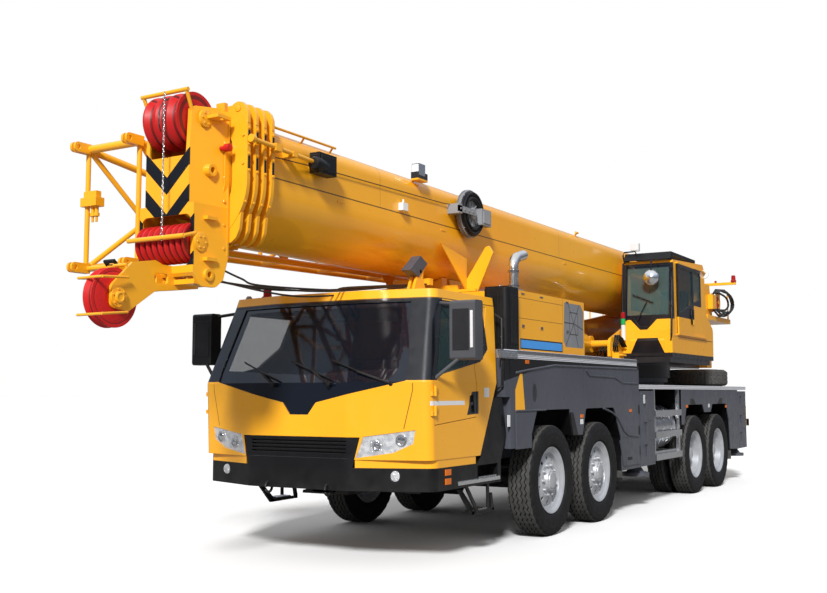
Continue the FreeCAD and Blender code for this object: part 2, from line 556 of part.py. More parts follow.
def cab(parts):
    """Shell with its openings, doors, panes and the yellow corners under the lamps."""
    shell = cab_form(0).cut(cab_form(CAB_WALL))
    corner = prism(BUMPER, "z", BUMPER_Z1 + 1, CAB_SECTIONS[0][0] + 1)
    inner = prism(bumper_inside(), "z", BUMPER_Z1, CAB_SECTIONS[0][0] + 2)
    corner = corner.cut(inner).cut(box(1790, 3000, -645, 645, 800, 1000))
    opening = prism(DOOR, "y", 900, 1500)
    screen = prism(WINDSCREEN, "x", 2200, 3100)
    rear_window = box(900, 1400, -800, 800, 1950, 2380)
    grille = prism(GRILLE, "x", 2600, 3100)
    lamp = prism(HEAD_LAMP, "x", 2600, 3100)
    shell_hinges, door_halves = door_hinges()
    shell = cut(fuse([shell] + corner.Solids), [opening, mirrored(opening), screen, rear_window, grille, lamp,
                                                mirrored(lamp)])
    parts["cab_shell"] = fuse([shell] + shell_hinges + [mirrored(h) for h in shell_hinges])
    leaf = cab_form(2).cut(cab_form(CAB_WALL - 2)).common(prism(shrink(DOOR, DOOR_GAP), "y", 900, 1500))
    handle = prism(HANDLE, "y", 900, 1500).cut(cab_form(20))
    grip = prism([(1870, 1470), (1955, 1465), (1950, 1495), (1872, 1500)], "y", 900, 1500)
    grip = grip.common(cab_form(4)).cut(cab_form(24))
    pane = cab_form(16).cut(cab_form(16 + GLASS_T))
    leaf = leaf.cut(prism(DOOR_WINDOW, "y", 900, 1500)).cut(handle)
    door = fuse([leaf, grip] + door_halves)
    door_pane = pane.common(prism(shrink(DOOR_WINDOW, GLASS_GAP), "y", 900, 1500))
    parts["door_left"] = door
    parts["door_right"] = mirrored(door)
    parts["door_glass_left"] = door_pane
    parts["door_glass_right"] = mirrored(door_pane)
    front_pane = pane.common(prism(shrink(WINDSCREEN, GLASS_GAP), "x", 2200, 3100))
    back_pane = pane.common(box(900, 1400, -800 + GLASS_GAP, 800 - GLASS_GAP, 1950 + GLASS_GAP, 2380 - GLASS_GAP))
    lens = cab_form(3).cut(cab_form(8)).common(prism(shrink(HEAD_LAMP, GLASS_GAP), "x", 2600, 3100))
    parts["cab_glass"] = Part.makeCompound([front_pane, back_pane, lens, mirrored(lens)])


def shrink(points, by):
    """Outline pushed in by a distance along each side."""
    ring = Part.makePolygon([V(p[0], p[1], 0) for p in points] + [V(points[0][0], points[0][1], 0)])
    moved = ring.makeOffset2D(-by, 2)
    return [(v.X, v.Y) for v in moved.OrderedVertexes]


def cab_interior():
    """Two seats, a dash and the steering column."""
    floor = CAB_SECTIONS[0][0] + CAB_WALL + SEAT
    seats = []
    for y in (-620, 620):
        back = prism([(1600, 1400), (1900, 1400), (1620, 2150), (1500, 2150)], "y", y - 240, y + 240)
        head_rest = box(1490, 1590, y - 130, y + 130, 2130, 2300)
        seats.append(fuse([box(1770, 2200, y - 250, y + 250, floor, 1500), back, head_rest]))
    dash = prism([(2480, floor), (2640, floor), (2640, 1500), (2560, 1600), (2420, 1560)], "y", -1050, 1050)
    column = bar((2385, 620, 1540), (2290, 620, 1712), 30)
    foot = box(2330, 2420 - SEAT, 580, 660, 1490, 1560)
    wheel = tube((2290, 620, 1716), (2274, 620, 1725), 200, 172)
    spokes = [bar((2282, 620 - 182, 1720), (2282, 620 + 182, 1720), 12),
              bar((2282 - 89, 620, 1720 - 158), (2282 + 89, 620, 1720 + 158), 12)]
    return Part.makeCompound(seats + [dash, fuse([column, foot, wheel] + spokes)])


def bumper_inside():
    """Inner outline of the bumper, 45 mm behind its face at the sides and 70 mm in front."""
    return [(1790, -1300), (1790, 1300), (2590, 1300), (2860, 540), (2860, -540), (2590, -1300)]


def cab_front(parts):
    """Bumper with its raised grille, side step panels and lamps."""
    z0, z1, floor = BUMPER_Z0, BUMPER_Z1, CAB_SECTIONS[0][0]
    inside = prism(bumper_inside(), "z", z0 - 1, z1 - 30)
    low = prism(BUMPER, "z", z0, z1).cut(inside).cut(box(1700, FRAME_FRONT + SEAT, -1400, 1400, z0 - 1, z1 + 1))
    neck = prism(BUMPER, "z", z1 - 1, floor + 10).cut(prism(bumper_inside(), "z", z1 - 40, floor + 11))
    panel = cab_form(4).cut(cab_form(70))
    window = prism(shrink(GRILLE, 3), "x", 2700, 3100).fuse(box(2700, 3100, -620, 620, z1 - 20, z1 + 10))
    raised = [piece.common(window) for piece in (neck, panel)]
    grooves = [box(2700, 3100, -560, 560, z, z + 16).cut(cab_form(38)) for z in (1030, 1064, 1098, 1132)]
    brackets = [box(FRAME_FRONT + SEAT, 2865, y0, y1, z0 + 10, z1 - 20)
                for y0, y1 in ((RAIL_Y0, RAIL_Y1), (-RAIL_Y1, -RAIL_Y0))]
    side, y, z, r = fog_lamp_axis()
    holes = [bar((side - 200, s * y, z), (side + 100, s * y, z), r) for s in (1, -1)]
    front = cut(fuse([low] + raised + brackets), grooves + holes)
    step = side_step()
    parts["front_bumper"] = Part.makeCompound([front, step, mirrored(step)])
    housing = cab_form(12).cut(cab_form(100)).common(prism(shrink(HEAD_LAMP, GLASS_GAP), "x", 2660, 3100))
    lamps = []
    for y, z, r in LAMP_BOWLS:
        face = 2930 - 230 * (y - 565) / 780 - (z - floor) * 0.042
        housing = housing.cut(Part.makeCone(r * 0.4, r, 92, V(face - 72, y, z), V(1, 0, 0)))
        lamps.append(Part.makeSphere(r * 0.3, V(face - 74, y, z)))
    housing = fuse([housing] + lamps)
    side, y, z, r = fog_lamp_axis()
    fog = bar((side - 60, y, z), (side, y, z), r - SEAT)
    fog = fog.cut(Part.makeCone(r * 0.5, r * 0.9, 31, V(side - 30, y, z), V(1, 0, 0)))
    parts["headlamps"] = pair(Part.makeCompound([housing, fog]))


def side_step():
    """Left step panel behind the door's lower corner, with a niche and a hanging step."""
    z0, z1 = BUMPER_Z0, BUMPER_Z1
    outline = [(1404, 1540), (1215, 1540), (1130, 1180), (1260, z1), (1260, z0), (1805, z0), (1805, z1 - 3),
               (1750, z1 - 3), (1697, 972)]
    panel = prism(outline, "y", 1150, 1335)
    sill = box(1800, FRAME_FRONT, 1300, 1340, z0, z1)
    niche = box(1330, 1780, 1190, 1400, z0 + 55, z1 - 20)
    ribs = [box(x, x + 12, 1185, 1330, z0 + 50, z0 + 67) for x in range(1350, 1760, 60)]
    front_strap = prism([(1990, z0 + 15), (1940, z0 + 15), (1700, STEP_Z), (1745, STEP_Z - 10)], "y", 1288, 1306)
    rear_strap = box(1470, 1510, 1288, 1306, STEP_Z - 10, z0 + 5)
    tread = box(1460, 1750, 1180, 1306, STEP_Z - 12, STEP_Z)
    arm = box(1600, 1660, RAIL_Y1 + SEAT, 1155, z0 + 60, z1 - 40)
    return fuse([cut(fuse([panel, sill]), [niche])] + ribs + [front_strap, rear_strap, tread, arm])


def fog_lamp_axis():
    y, z, r = FOG_LAMP
    return 2930 - 290 * (y - 560) / 780, y, z, r


def mirror():
    head = prism([(2380, 1890, 30), (2540, 1890, 30), (2540, 2440, 30), (2380, 2440, 30)], "y", 1450, 1715)
    arms = [bar((2350, 1250, 2440), (2440, 1560, 2400), 17), bar((2600, 1325, 1720), (2500, 1560, 1930), 17)]
    return fuse([head] + arms).cut(cab_form(2 - SEAT))


# Upper structure
def turntable():
    """Slewing platform with boom plates, the winch's side plates and the beacon bar."""
    floor_z = PLATFORM_Z
    px, pz = PIVOT
    outline = [(-4150, floor_z), (-4150, floor_z + 355, 120), (-5200, floor_z + 695), (-6900, pz - 110),
               (px + 230, pz + 230, 160), (px - 230, pz + 230, 160), (-8300, pz - 240), (-9000, pz - 340),
               (-9000, floor_z)]
    plate = prism(outline, "y", PLATE_Y0, PLATE_Y1)
    floor = box(-8950, -4500, -PLATE_Y1, PLATE_Y1, floor_z, floor_z + 40)
    drum = bar((SLEW_X, 0, SLEW_Z + SEAT), (SLEW_X, 0, floor_z + 5), SLEW_R + 40)
    pivot = cross(px, pz, -PLATE_Y1 - 30, PLATE_Y1 + 30, PIVOT_R - 0.5)
    luff = cross(LUFF_BASE[0], LUFF_BASE[1], -PLATE_Y1 - 20, PLATE_Y1 + 20, LUFF_PIN_R - 0.5)
    caps = [pair(cross(x, z, PLATE_Y1 - 2, PLATE_Y1 + 12, r)) for x, z, r in
            ((px, pz, 150), (LUFF_BASE[0], LUFF_BASE[1], 120))]
    shelf = box(OP_CAB[-1][0] + 180, OP_CAB[0][0] + 60, PLATE_Y1 - 5, OP_Y1 - 16, floor_z + 5, OP_CAB[0][1] - SEAT)
    base_z = pz - 244
    wx = WINCH_AT[0]
    wing = box(wx, px + 400, PLATE_Y0 + 1, 1250, base_z, base_z + 84)
    bridge = box(wx, wx + 205, -700, 700, base_z, base_z + 84)
    stand = prism([(px + 440, base_z + 60), (px + 380, base_z + 624), (px + 100, base_z + 624),
                   (px - 60, base_z + 60)], "y", 1190, 1206)
    reel = fuse([spin([(1140, 40), (1140, 170), (1152, 170), (1152, 90), (1238, 90), (1238, 170), (1250, 170),
                       (1250, 40)], wx + 860, base_z + 344), cross(wx + 860, base_z + 344, 1110, 1270, 41),
                 box(wx + 820, wx + 900, 1105, 1130, base_z + 60, base_z + 390)])
    post = box(wx - 15, wx + 45, 640, 700, base_z, BEACON_BAR_Z)
    rail = box(wx - 15, wx + 35, 600, 1370, BEACON_BAR_Z, BEACON_BAR_Z + 50)
    step = box(px + 400, px + 460, 1120, 1150, base_z - 300, base_z + 80)
    return fuse([plate, mirrored(plate), floor, drum, pivot, luff, shelf, wing, mirrored(wing), bridge, stand,
                 reel, post, rail, step] + [c for group in caps for c in group.Solids])


def counterweight():
    rear, front = TAIL_END, -9000.3
    low, top = PLATFORM_Z + 20, PLATFORM_Z + 695
    return prism([(rear, low, 40), (front, low), (front, top, 60), (rear + 80, top, 80), (rear, top - 140, 60)],
                 "y", -TAIL_Y, TAIL_Y)


def winch(x, z):
    """Rope drum with two flanges, each with a ring of holes, on a shaft between the plates."""
    r = WINCH_R
    drum = spin([(-330, 90), (-330, r), (-310, r), (-310, r - 100), (310, r - 100), (310, r), (330, r), (330, 90)],
                x, z)
    shaft = cross(x, z, -PLATE_Y0 + SEAT, PLATE_Y0 - SEAT, 100)
    return fuse([drum, shaft])


def op_front_x(z):
    """Station of the operator's cab front at a level."""
    (x0, z0), (x1, z1) = OP_CAB[1][:2], OP_CAB[2][:2]
    return x0 + (x1 - x0) * (z - z0) / (z1 - z0)


def operator_cab(parts):
    """Operator's cab with a sloping screen, side windows and a sliding door on two rails."""
    nose, low = OP_CAB[0]
    outer = prism(OP_CAB, "y", OP_Y0, OP_Y1)
    inner = prism(shrink([p[:2] for p in OP_CAB], OP_WALL), "y", OP_Y0 + OP_WALL, OP_Y1 - OP_WALL)
    screen = prism(OP_SCREEN, "x", nose - 320, nose + 180)
    (dx0, dx1), (dz0, dz1) = OP_DOOR_X, OP_DOOR_Z
    outline = [(dx0, dz0), (dx0, dz1), (dx1, dz1), (dx1, dz0)]
    door = prism(outline, "y", OP_Y1 - 100, OP_Y1 + 50)
    rear_window = prism(OP_REAR_WINDOW, "y", OP_Y1 - 100, OP_Y1 + 50)
    inner_box = (nose - 1320, nose - 320, OP_Y0 - 20, OP_Y0 + 60, low + 770, low + 1370)
    rails = [box(dx1 - 760, dx0 + 10, OP_Y1 - 1, OP_Y1 + 34, z, z + 24)
             for z in (dz0 + DOOR_GAP - 24 - SEAT, dz1 - DOOR_GAP + SEAT)]
    trim = prism([(nose - 2, low), (nose + 14, low + 30), (nose + 14, low + 260), (nose - 2, low + 290)], "y",
                 OP_Y0 + 120, OP_Y1 - 120)
    sill = box(OP_CAB[-2][0] + 220, nose - 60, OP_Y1 - 1, OP_Y1 + 5, dz0 - 40, dz0 - 26)
    parts["operator_cab"] = fuse([cut(outer.cut(inner), [screen, door, rear_window, box(*inner_box)])] + rails
                                 + [trim, sill])
    leaf = prism(shrink(outline, DOOR_GAP), "y", OP_Y1 + 6, OP_Y1 + 30)
    handle = box(dx1 + 60, dx1 + 90, OP_Y1 + 29, OP_Y1 + 50, dz0 + 180, dz0 + 420)
    finger = box(dx1 + 59, dx1 + 91, OP_Y1 + 30, OP_Y1 + 40, dz0 + 200, dz0 + 400)
    parts["operator_door"] = fuse([leaf.cut(prism(OP_DOOR_WINDOW, "y", OP_Y1 - 50, OP_Y1 + 60)),
                                   handle.cut(finger)])
    parts["operator_door_glass"] = prism(shrink(OP_DOOR_WINDOW, GLASS_GAP), "y", OP_Y1 + 14, OP_Y1 + 20)
    floor = low + OP_WALL + SEAT
    y0, y1 = OP_Y0 + 210, OP_Y1 - 146
    seat = fuse([box(nose - 1320, nose - 820, y0, y1, floor, floor + 440),
                 box(nose - 1420, nose - 1270, y0, y1, floor + 390, floor + 1090),
                 box(nose - 1300, nose - 900, y0 - 60, y0 + 20, floor + 560, floor + 640)])
    desk = box(nose - 470, nose - 170, y0 - 50, y1, floor, floor + 300)
    parts["operator_interior"] = Part.makeCompound([seat, desk])
    z0, z1 = OP_SCREEN[2][1] - 20, OP_CAB[2][1] - 20
    sheet = prism([(op_front_x(z0) - 12, z0), (op_front_x(z1) - 12, z1), (op_front_x(z1) - 18, z1),
                   (op_front_x(z0) - 18, z0)], "y", OP_Y0, OP_Y1)
    pane = sheet.common(prism(shrink(OP_SCREEN, GLASS_GAP), "x", nose - 320, nose + 180))
    rear_pane = prism(shrink(OP_REAR_WINDOW, GLASS_GAP), "y", OP_Y1 - 16, OP_Y1 - 10)
    x0, x1, _, _, z0, z1 = inner_box
    side_pane = box(x0 + GLASS_GAP, x1 - GLASS_GAP, OP_Y0 + 10, OP_Y0 + 16, z0 + GLASS_GAP, z1 - GLASS_GAP)
    parts["operator_glass"] = Part.makeCompound([pane, rear_pane, side_pane])
    parts["roof_guard"] = roof_guard()


def roof_guard():
    """Grating over the operator's cab roof on four feet, with a visor in front."""
    x0, x1 = OP_CAB[2][0] - 1280, OP_CAB[2][0] + 40
    z = GUARD_Z
    y0, y1 = OP_Y0 + 35, OP_Y1 - 10
    frame = box(x0, x1, y0, y1, z - 50, z).cut(box(x0 + 50, x1 - 50, y0 + 50, y1 - 50, z - 60, z + 10))
    slats = [box(x0 + 60 + 172 * i, x0 + 90 + 172 * i, y0 + 40, y1 - 40, z - 42, z - 8) for i in range(1, 8)]
    visor = prism([(x1 - 2, z), (x1 + 62, z - 115), (x1 + 48, z - 120), (x1 - 20, z - 10)], "y", y0, y1)
    feet = [box(x, x + 50, y, y + 50, z - 160, z - 45) for x in (x0 + 10, x1 - 70) for y in (y0, y1 - 50)]
    roof = prism([(OP_CAB[2][0] + 300, 3000), (OP_CAB[2][0] + 300, OP_CAB[2][1] - 14), (OP_CAB[2][0], OP_CAB[2][1]),
                  (OP_CAB[3][0], OP_CAB[3][1]), (OP_CAB[3][0], 3000)], "y", OP_Y0 - 10, OP_Y1 + 10)
    roof.translate(V(0, 0, SEAT))
    return fuse([frame, visor] + slats + feet).cut(roof)


# Boom
def boom_ring(half, top, x0, x1):
    """Rounded box above a half-round belly, both about the seam line."""
    upper = prism([(-half, BOOM_Z), (half, BOOM_Z), (half, BOOM_Z + top, BOOM_CORNER),
                   (-half, BOOM_Z + top, BOOM_CORNER)], "x", x0, x1)
    belly = bar((x0, 0, BOOM_Z), (x1, 0, BOOM_Z), half)
    return upper.fuse(belly).removeSplitter()


def boom_tube(step, x0, x1):
    shift = step * (BOOM_WALL + BOOM_GAP)
    half, top = BOOM_W - shift, BOOM_TOP - shift
    outside = boom_ring(half, top, x0, x1)
    return outside.cut(boom_ring(half - BOOM_WALL, top - BOOM_WALL, x0 - 1, x1 + 1))


def collar(step):
    """Ring plate at a section's mouth, rounder and taller than the tube."""
    x = COLLAR_X + step * COLLAR_PITCH
    shift = step * (BOOM_WALL + BOOM_GAP)
    plate = boom_ring(BOOM_W + COLLAR_LIP, BOOM_TOP + COLLAR_LIP, x - COLLAR_T / 2, x + COLLAR_T / 2)
    lugs = [box(x - COLLAR_T / 2, x + COLLAR_T / 2, y - 45, y + 45, BOOM_Z + BOOM_TOP + COLLAR_LIP - 5,
                BOOM_Z + BOOM_TOP + COLLAR_LIP + 85) for y in (-230, 230)]
    hole = boom_ring(BOOM_W - shift - BOOM_WALL, BOOM_TOP - shift - BOOM_WALL, x - COLLAR_T, x + COLLAR_T)
    return fuse([plate] + lugs).cut(hole)


def wear_pad(step, front):
    """Slide pad under the next section, inside this section's mouth."""
    shift = step * (BOOM_WALL + BOOM_GAP)
    outside = bar((front - 160, 0, BOOM_Z), (front - 40, 0, BOOM_Z), BOOM_W - shift - BOOM_WALL)
    inside = bar((front - 161, 0, BOOM_Z), (front - 39, 0, BOOM_Z), BOOM_W - shift - BOOM_WALL - BOOM_GAP + SEAT)
    return outside.cut(inside).common(box(front - 200, front, -160, 160, BOOM_Z - BOOM_W, BOOM_Z))


def boom(parts):
    for step, name in enumerate(("boom_base", "boom_2", "boom_3", "boom_4")):
        rear = BOOM_REAR if step == 0 else SECTION_REAR + 60 * (step - 1)
        front = COLLAR_X + step * COLLAR_PITCH
        pieces = [boom_tube(step, rear, front), collar(step), wear_pad(step, front)]
        if step == 0:
            pieces.append(boom_foot())
            pieces += luff_lugs()
            pieces += boom_fittings()
        section = fuse(pieces)
        if step == 0:
            section = section.cut(cross(PIVOT[0], PIVOT[1], -600, 600, PIVOT_R))
        parts[name] = section
    parts["boom_head"] = boom_head()


def boom_foot():
    """Foot of the base section with its pivot boss."""
    px, pz = PIVOT
    boss = cross(px, pz, -PLATE_Y0 + 12, PLATE_Y0 - 12, PIVOT_R + 65)
    web = box(BOOM_REAR + 10, px + 120, -BOOM_W + 30, BOOM_W - 30, pz - 60, pz + 60)
    return fuse([boss, web])


def boom_fittings():
    """Hose reel, box, work lamp, camera, guide rod and rear hook on the base section's left side."""
    side = BOOM_W
    reel_x, reel_z = COLLAR_X - 3600, BOOM_Z + 290
    reel = spin([(side + 40, 30), (side + 40, 270), (side + 52, 280), (side + 58, 262), (side + 82, 262),
                 (side + 88, 280), (side + 100, 270), (side + 100, 30)], reel_x, reel_z)
    hub = cross(reel_x, reel_z, side - 5, side + 125, 60)
    back = box(reel_x - 70, reel_x + 70, side - 6, side + 42, reel_z - 150, reel_z + 90)
    case = box(reel_x - 350, reel_x - 130, side + 100, side + 165, reel_z - 110, reel_z + 60)
    carrier = box(reel_x - 340, reel_x - 60, side - 6, side + 101, reel_z - 80, reel_z - 30)
    lamp = box(COLLAR_X - 2640, COLLAR_X - 2440, side - 20, side + 70, BOOM_Z + 490, BOOM_Z + 580)
    lamp_foot = bar((COLLAR_X - 2540, side - 58, BOOM_Z + 503), (COLLAR_X - 2540, side, BOOM_Z + 540), 14)
    camera = box(COLLAR_X - 700, COLLAR_X - 530, side + 50, side + 130, BOOM_Z + 250, BOOM_Z + 330)
    camera_arm = box(COLLAR_X - 635, COLLAR_X - 595, side - 6, side + 60, BOOM_Z + 270, BOOM_Z + 310)
    sensor = box(COLLAR_X - 2230, COLLAR_X - 2170, side - 5, side + 50, BOOM_Z + 130, BOOM_Z + 190)
    rod = bar((COLLAR_X - 60, side - 20, BOOM_Z + BOOM_TOP + 10), (COLLAR_X - 1040, side - 20,
                                                                   BOOM_Z + BOOM_TOP + 10), 12)
    stubs = [bar((x, side - 20, BOOM_Z + BOOM_TOP + 10), (x, side - 58, BOOM_Z + 503), 10)
             for x in (COLLAR_X - 100, COLLAR_X - 550, COLLAR_X - 1000)]
    hook = bar((COLLAR_X - 7120, side - 58, BOOM_Z + 503), (COLLAR_X - 7120, side - 15,
                                                                    BOOM_Z + BOOM_TOP + 10), 14)
    hook_end = bar((COLLAR_X - 7150, side - 15, BOOM_Z + BOOM_TOP + 5), (COLLAR_X - 7060, side - 15,
                                                                         BOOM_Z + BOOM_TOP + 5), 14)
    return [reel, hub, back, case, carrier, lamp, lamp_foot, camera, camera_arm, sensor, rod, hook,
            hook_end] + stubs


def luff_lugs():
    x, z = LUFF_EYE
    lugs = []
    for y0, y1 in ((-190, -150), (150, 190)):
        lugs.append(prism([(x - 260, BOOM_Z - 440), (x - 110, z - 100, 90), (x + 110, z - 100, 90),
                           (x + 260, BOOM_Z - 440)], "y", y0, y1))
    for y0, y1 in ((-205, -150), (150, 205)):
        lugs.append(cross(x, z, y0, y1, LUFF_PIN_R))
    return lugs


def head_shell():
    """Tapered walls and front plate of the head, cut to its side outline."""
    middle = BOOM_Z - 230
    shell = []
    for front_y, low, high in ((HEAD_UPPER_Y, middle, HEAD_TOP + 40), (HEAD_LOWER_Y, HEAD_LOW - 40, middle)):
        wedge = prism([(HEAD_REAR, -HEAD_STEM_Y), (HEAD_REAR, HEAD_STEM_Y), (HEAD_FRONT, front_y),
                       (HEAD_FRONT, -front_y)], "z", low, high)
        t = HEAD_PLATE_T
        hollow = prism([(HEAD_REAR - 1, t - HEAD_STEM_Y), (HEAD_REAR - 1, HEAD_STEM_Y - t),
                        (HEAD_FRONT - t, front_y - t), (HEAD_FRONT - t, t - front_y)], "z", low - 1, high + 1)
        shell.append(wedge.cut(hollow))
    z = BOOM_Z
    outline = [(HEAD_REAR, z + 520), (HEAD_REAR + 130, z + 600, 40), (HEAD_FRONT - 20, z + 580, 40),
               (HEAD_FRONT, z + 200), (HEAD_FRONT, z - 800), (HEAD_FRONT - 80, HEAD_LOW - 20, 60),
               (HEAD_FRONT - 240, HEAD_LOW - 20, 60), (HEAD_FRONT - 320, HEAD_LOW + 50), (HEAD_REAR, z - 640)]
    upper_gap = prism([(-205, z + 170, 40), (205, z + 170, 40), (205, z + 900), (-205, z + 900)], "x",
                      HEAD_FRONT - 60, HEAD_FRONT + 10)
    lower_gap = prism([(-272, z - 740, 60), (272, z - 740, 60), (272, z - 320, 60), (-272, z - 320, 60)], "x",
                      HEAD_FRONT - 60, HEAD_FRONT + 10)
    return cut(fuse(shell).common(prism(outline, "y", -400, 400)), [upper_gap, lower_gap])


def boom_head():
    """Innermost section with the tapered head, its pins, lugs, rope bars and the auxiliary arm."""
    shift = 4 * (BOOM_WALL + BOOM_GAP)
    half, top = BOOM_W - shift, BOOM_TOP - shift
    z = BOOM_Z
    stem = boom_tube(4, SECTION_REAR + 240, HEAD_REAR + 60)
    plate = box(HEAD_REAR, HEAD_REAR + HEAD_PLATE_T, -HEAD_STEM_Y, HEAD_STEM_Y, z - 640, z + 520)
    plate = plate.cut(boom_ring(half - BOOM_WALL, top - BOOM_WALL, HEAD_REAR - 5, HEAD_REAR + 30))
    pieces = [piece.cut(cross(TOP_SHEAVE[0], TOP_SHEAVE[1], -200, 200, TOP_SHEAVE_R + 15))
              for piece in (stem, plate)]
    pieces.append(head_shell())
    for x, level in (TOP_SHEAVE, LOW_SHEAVE):
        pieces.append(cross(x, level, -HEAD_LOWER_Y, HEAD_LOWER_Y, 45))
    for x, level in HEAD_PINS:
        pieces.append(pair(cross(x, level, HEAD_PIN_Y - 110, HEAD_PIN_Y, 52)))
    top_bar = (HEAD_FRONT + 45, z + 700)
    rope_bar = (HEAD_FRONT + 115, z - 520)
    pieces.append(cross(top_bar[0], top_bar[1], -260, 260, 18))
    pieces.append(cross(rope_bar[0], rope_bar[1], -310, 310, 20))
    for side in (1, -1):
        pieces.append(bar((HEAD_FRONT - 45, side * 232, z + 520), (top_bar[0], side * 240, top_bar[1]), 16))
        pieces.append(bar((HEAD_FRONT - 30, side * 296, z - 480), (rope_bar[0], side * 300, rope_bar[1]), 16))
        y0, y1 = sorted((side * 262, side * 420))
        ear = box(HEAD_REAR + 74, HEAD_REAR + 234, y0, y1, z + 490, z + 520)
        pieces.append(ear.cut(bar((HEAD_REAR + 150, side * 380, z + 480), (HEAD_REAR + 150, side * 380, z + 530),
                                  24)))
    solids = [s for piece in pieces for s in piece.Solids]
    head = fuse(solids + auxiliary_arm())
    return cut(head, [cross(x, level, -HEAD_PIN_Y - 50, HEAD_PIN_Y + 50, HEAD_PIN_R) for x, level in HEAD_PINS])


def auxiliary_arm():
    """Two cheeks for the single front sheave, on a plate across the head's foot."""
    x, z = ARM_SHEAVE
    base = HEAD_LOW + 20
    outline = [(HEAD_REAR + 60, base - 30), (HEAD_REAR + 60, base + 70), (HEAD_REAR + 140, base + 132),
               (HEAD_FRONT + 100, base + 132), (HEAD_FRONT + 180, base + 160), (x - 150, base + 120),
               (x + 62, z + 90, 50), (x + 62, z - 80, 50), (x - 120, z - 100), (HEAD_FRONT + 180, base - 90),
               (HEAD_FRONT - 160, base - 50)]
    hole = prism([(HEAD_FRONT + 40, base - 20, 28), (HEAD_FRONT + 190, base - 20, 28),
                  (HEAD_FRONT + 190, base + 60, 28), (HEAD_FRONT + 40, base + 60, 28)], "y", 40, 90)
    cheek = prism(outline, "y", 50, 74).cut(hole)
    boss = cross(x, z, 73, 96, 78)
    bridge = box(HEAD_REAR + 80, HEAD_FRONT - 30, -HEAD_LOWER_Y + 12, HEAD_LOWER_Y - 12, base - 20, base + 20)
    guard = cross(x - 90, z + 262, -70, 70, 12)
    guard_legs = [bar((x - 120, y, z + 170), (x - 90, y, z + 262), 10) for y in (62, -62)]
    return [cheek, mirrored(cheek), boss, mirrored(boss), bridge, cross(x, z, -110, 110, 45), guard] + guard_legs


def sheave(x, z, y0, y1, radius, grooves):
    """Row of rope grooves on one shaft."""
    pitch = (y1 - y0) / grooves
    profile = [(y0, SHEAVE_BORE)]
    for i in range(grooves):
        y = y0 + i * pitch
        profile += [(y, radius), (y + pitch * 0.12, radius), (y + pitch * 0.5, radius - 38),
                    (y + pitch * 0.88, radius)]
    profile += [(y1, radius), (y1, SHEAVE_BORE)]
    return spin(profile, x, z)


def sheaves(parts):
    parts["head_sheaves"] = Part.makeCompound([
        sheave(TOP_SHEAVE[0], TOP_SHEAVE[1], -190, 190, TOP_SHEAVE_R, 3),
        sheave(LOW_SHEAVE[0], LOW_SHEAVE[1], -262, 262, LOW_SHEAVE_R, 8),
        sheave(ARM_SHEAVE[0], ARM_SHEAVE[1], -45, 45, ARM_SHEAVE_R, 1)])


def jib():
    """Lattice fly jib stowed along the boom's right side, with its pin tube and lugs in front."""
    stations = [JIB_ROOT_X, 3300, 2300, 1300, 300, -700, -1700, -2700, -3700]
    pieces = []
    z = BOOM_Z
    sides, levels = (JIB_NEAR_Y, JIB_FAR_Y), (JIB_UPPER_Z, JIB_LOWER_Z)

    def corners(x):
        if x > 3300:
            return [(y, level) for level in levels for y in sides]
        share = (3300 - x) / 7000.0
        return [(-640, z + 200 - 130 * share), (-1000 + 80 * share, z + 200 - 130 * share),
                (-640, z - 410 + 130 * share), (-1000 + 80 * share, z - 410 + 130 * share)]
    for a, b in zip(stations, stations[1:]):
        for (ya, za), (yb, zb) in zip(corners(a), corners(b)):
            pieces.append(bar((a, ya, za), (b, yb, zb), 33))
    for i, x in enumerate(stations):
        c = corners(x)
        for p, q in ((0, 1), (2, 3), (0, 2), (1, 3)):
            pieces.append(bar((x,) + c[p], (x,) + c[q], 22))
        if 0 < i < len(stations) - 1:
            n = corners(stations[i + 1])
            for p, q in ((0, 2), (3, 1)):
                pieces.append(bar((x,) + c[p], (stations[i + 1],) + n[q], 22))
    root = JIB_ROOT_X
    pieces.append(bar((root, JIB_NEAR_Y, JIB_UPPER_Z), (root, JIB_FAR_Y, JIB_UPPER_Z), 38))
    for i, y in enumerate(sides):
        rear_y = corners(3300)[i][0]
        middle = (root - 600, (y + rear_y) / 2, z - 150)
        for level, rear_z in zip(levels, (z + 200, z - 410)):
            pieces.append(bar((root, y, level), middle, 24))
            pieces.append(bar(middle, (3300, rear_y, rear_z), 24))
            low, high, tip = level - 45, level + 45, root + 190
            lug = prism([(root - 20, low), (tip, low, 40), (tip, high, 40), (root - 20, high)], "y", y - 34, y + 34)
            lug = cut(lug, [box(root + 60, tip + 10, y - 12, y + 12, low - 15, high + 15),
                            cross(tip - 45, level, y - 40, y + 40, 20)])
            pieces.append(lug)
    for x in (2300, -1700):
        pieces.append(box(x - 60, x + 60, -660, -BOOM_W - SEAT, z + 110, z + 170))
    return fuse([s for piece in pieces for s in piece.Solids])


def luff_cylinder(parts):
    ax, az = LUFF_BASE
    bx, bz = LUFF_EYE
    length = math.hypot(bx - ax, bz - az)
    ux, uz = (bx - ax) / length, (bz - az) / length

    def at(distance):
        return (ax + ux * distance, 0, az + uz * distance)
    barrel_end = length - 320
    barrel = tube(at(120), at(barrel_end), BARREL_R, ROD_R + 20)
    cap = bar(at(100), at(160), BARREL_R)
    eye = cross(ax, az, -140, 140, 130)
    gland = tube(at(barrel_end - 60), at(barrel_end), BARREL_R, ROD_R + 0.5)
    parts["luff_barrel"] = fuse([barrel, cap, eye, gland]).cut(cross(ax, az, -200, 200, LUFF_PIN_R))
    rod = bar(at(260), at(length - 90), ROD_R)
    parts["luff_rod"] = fuse([rod, cross(bx, bz, -144, 144, 120)])


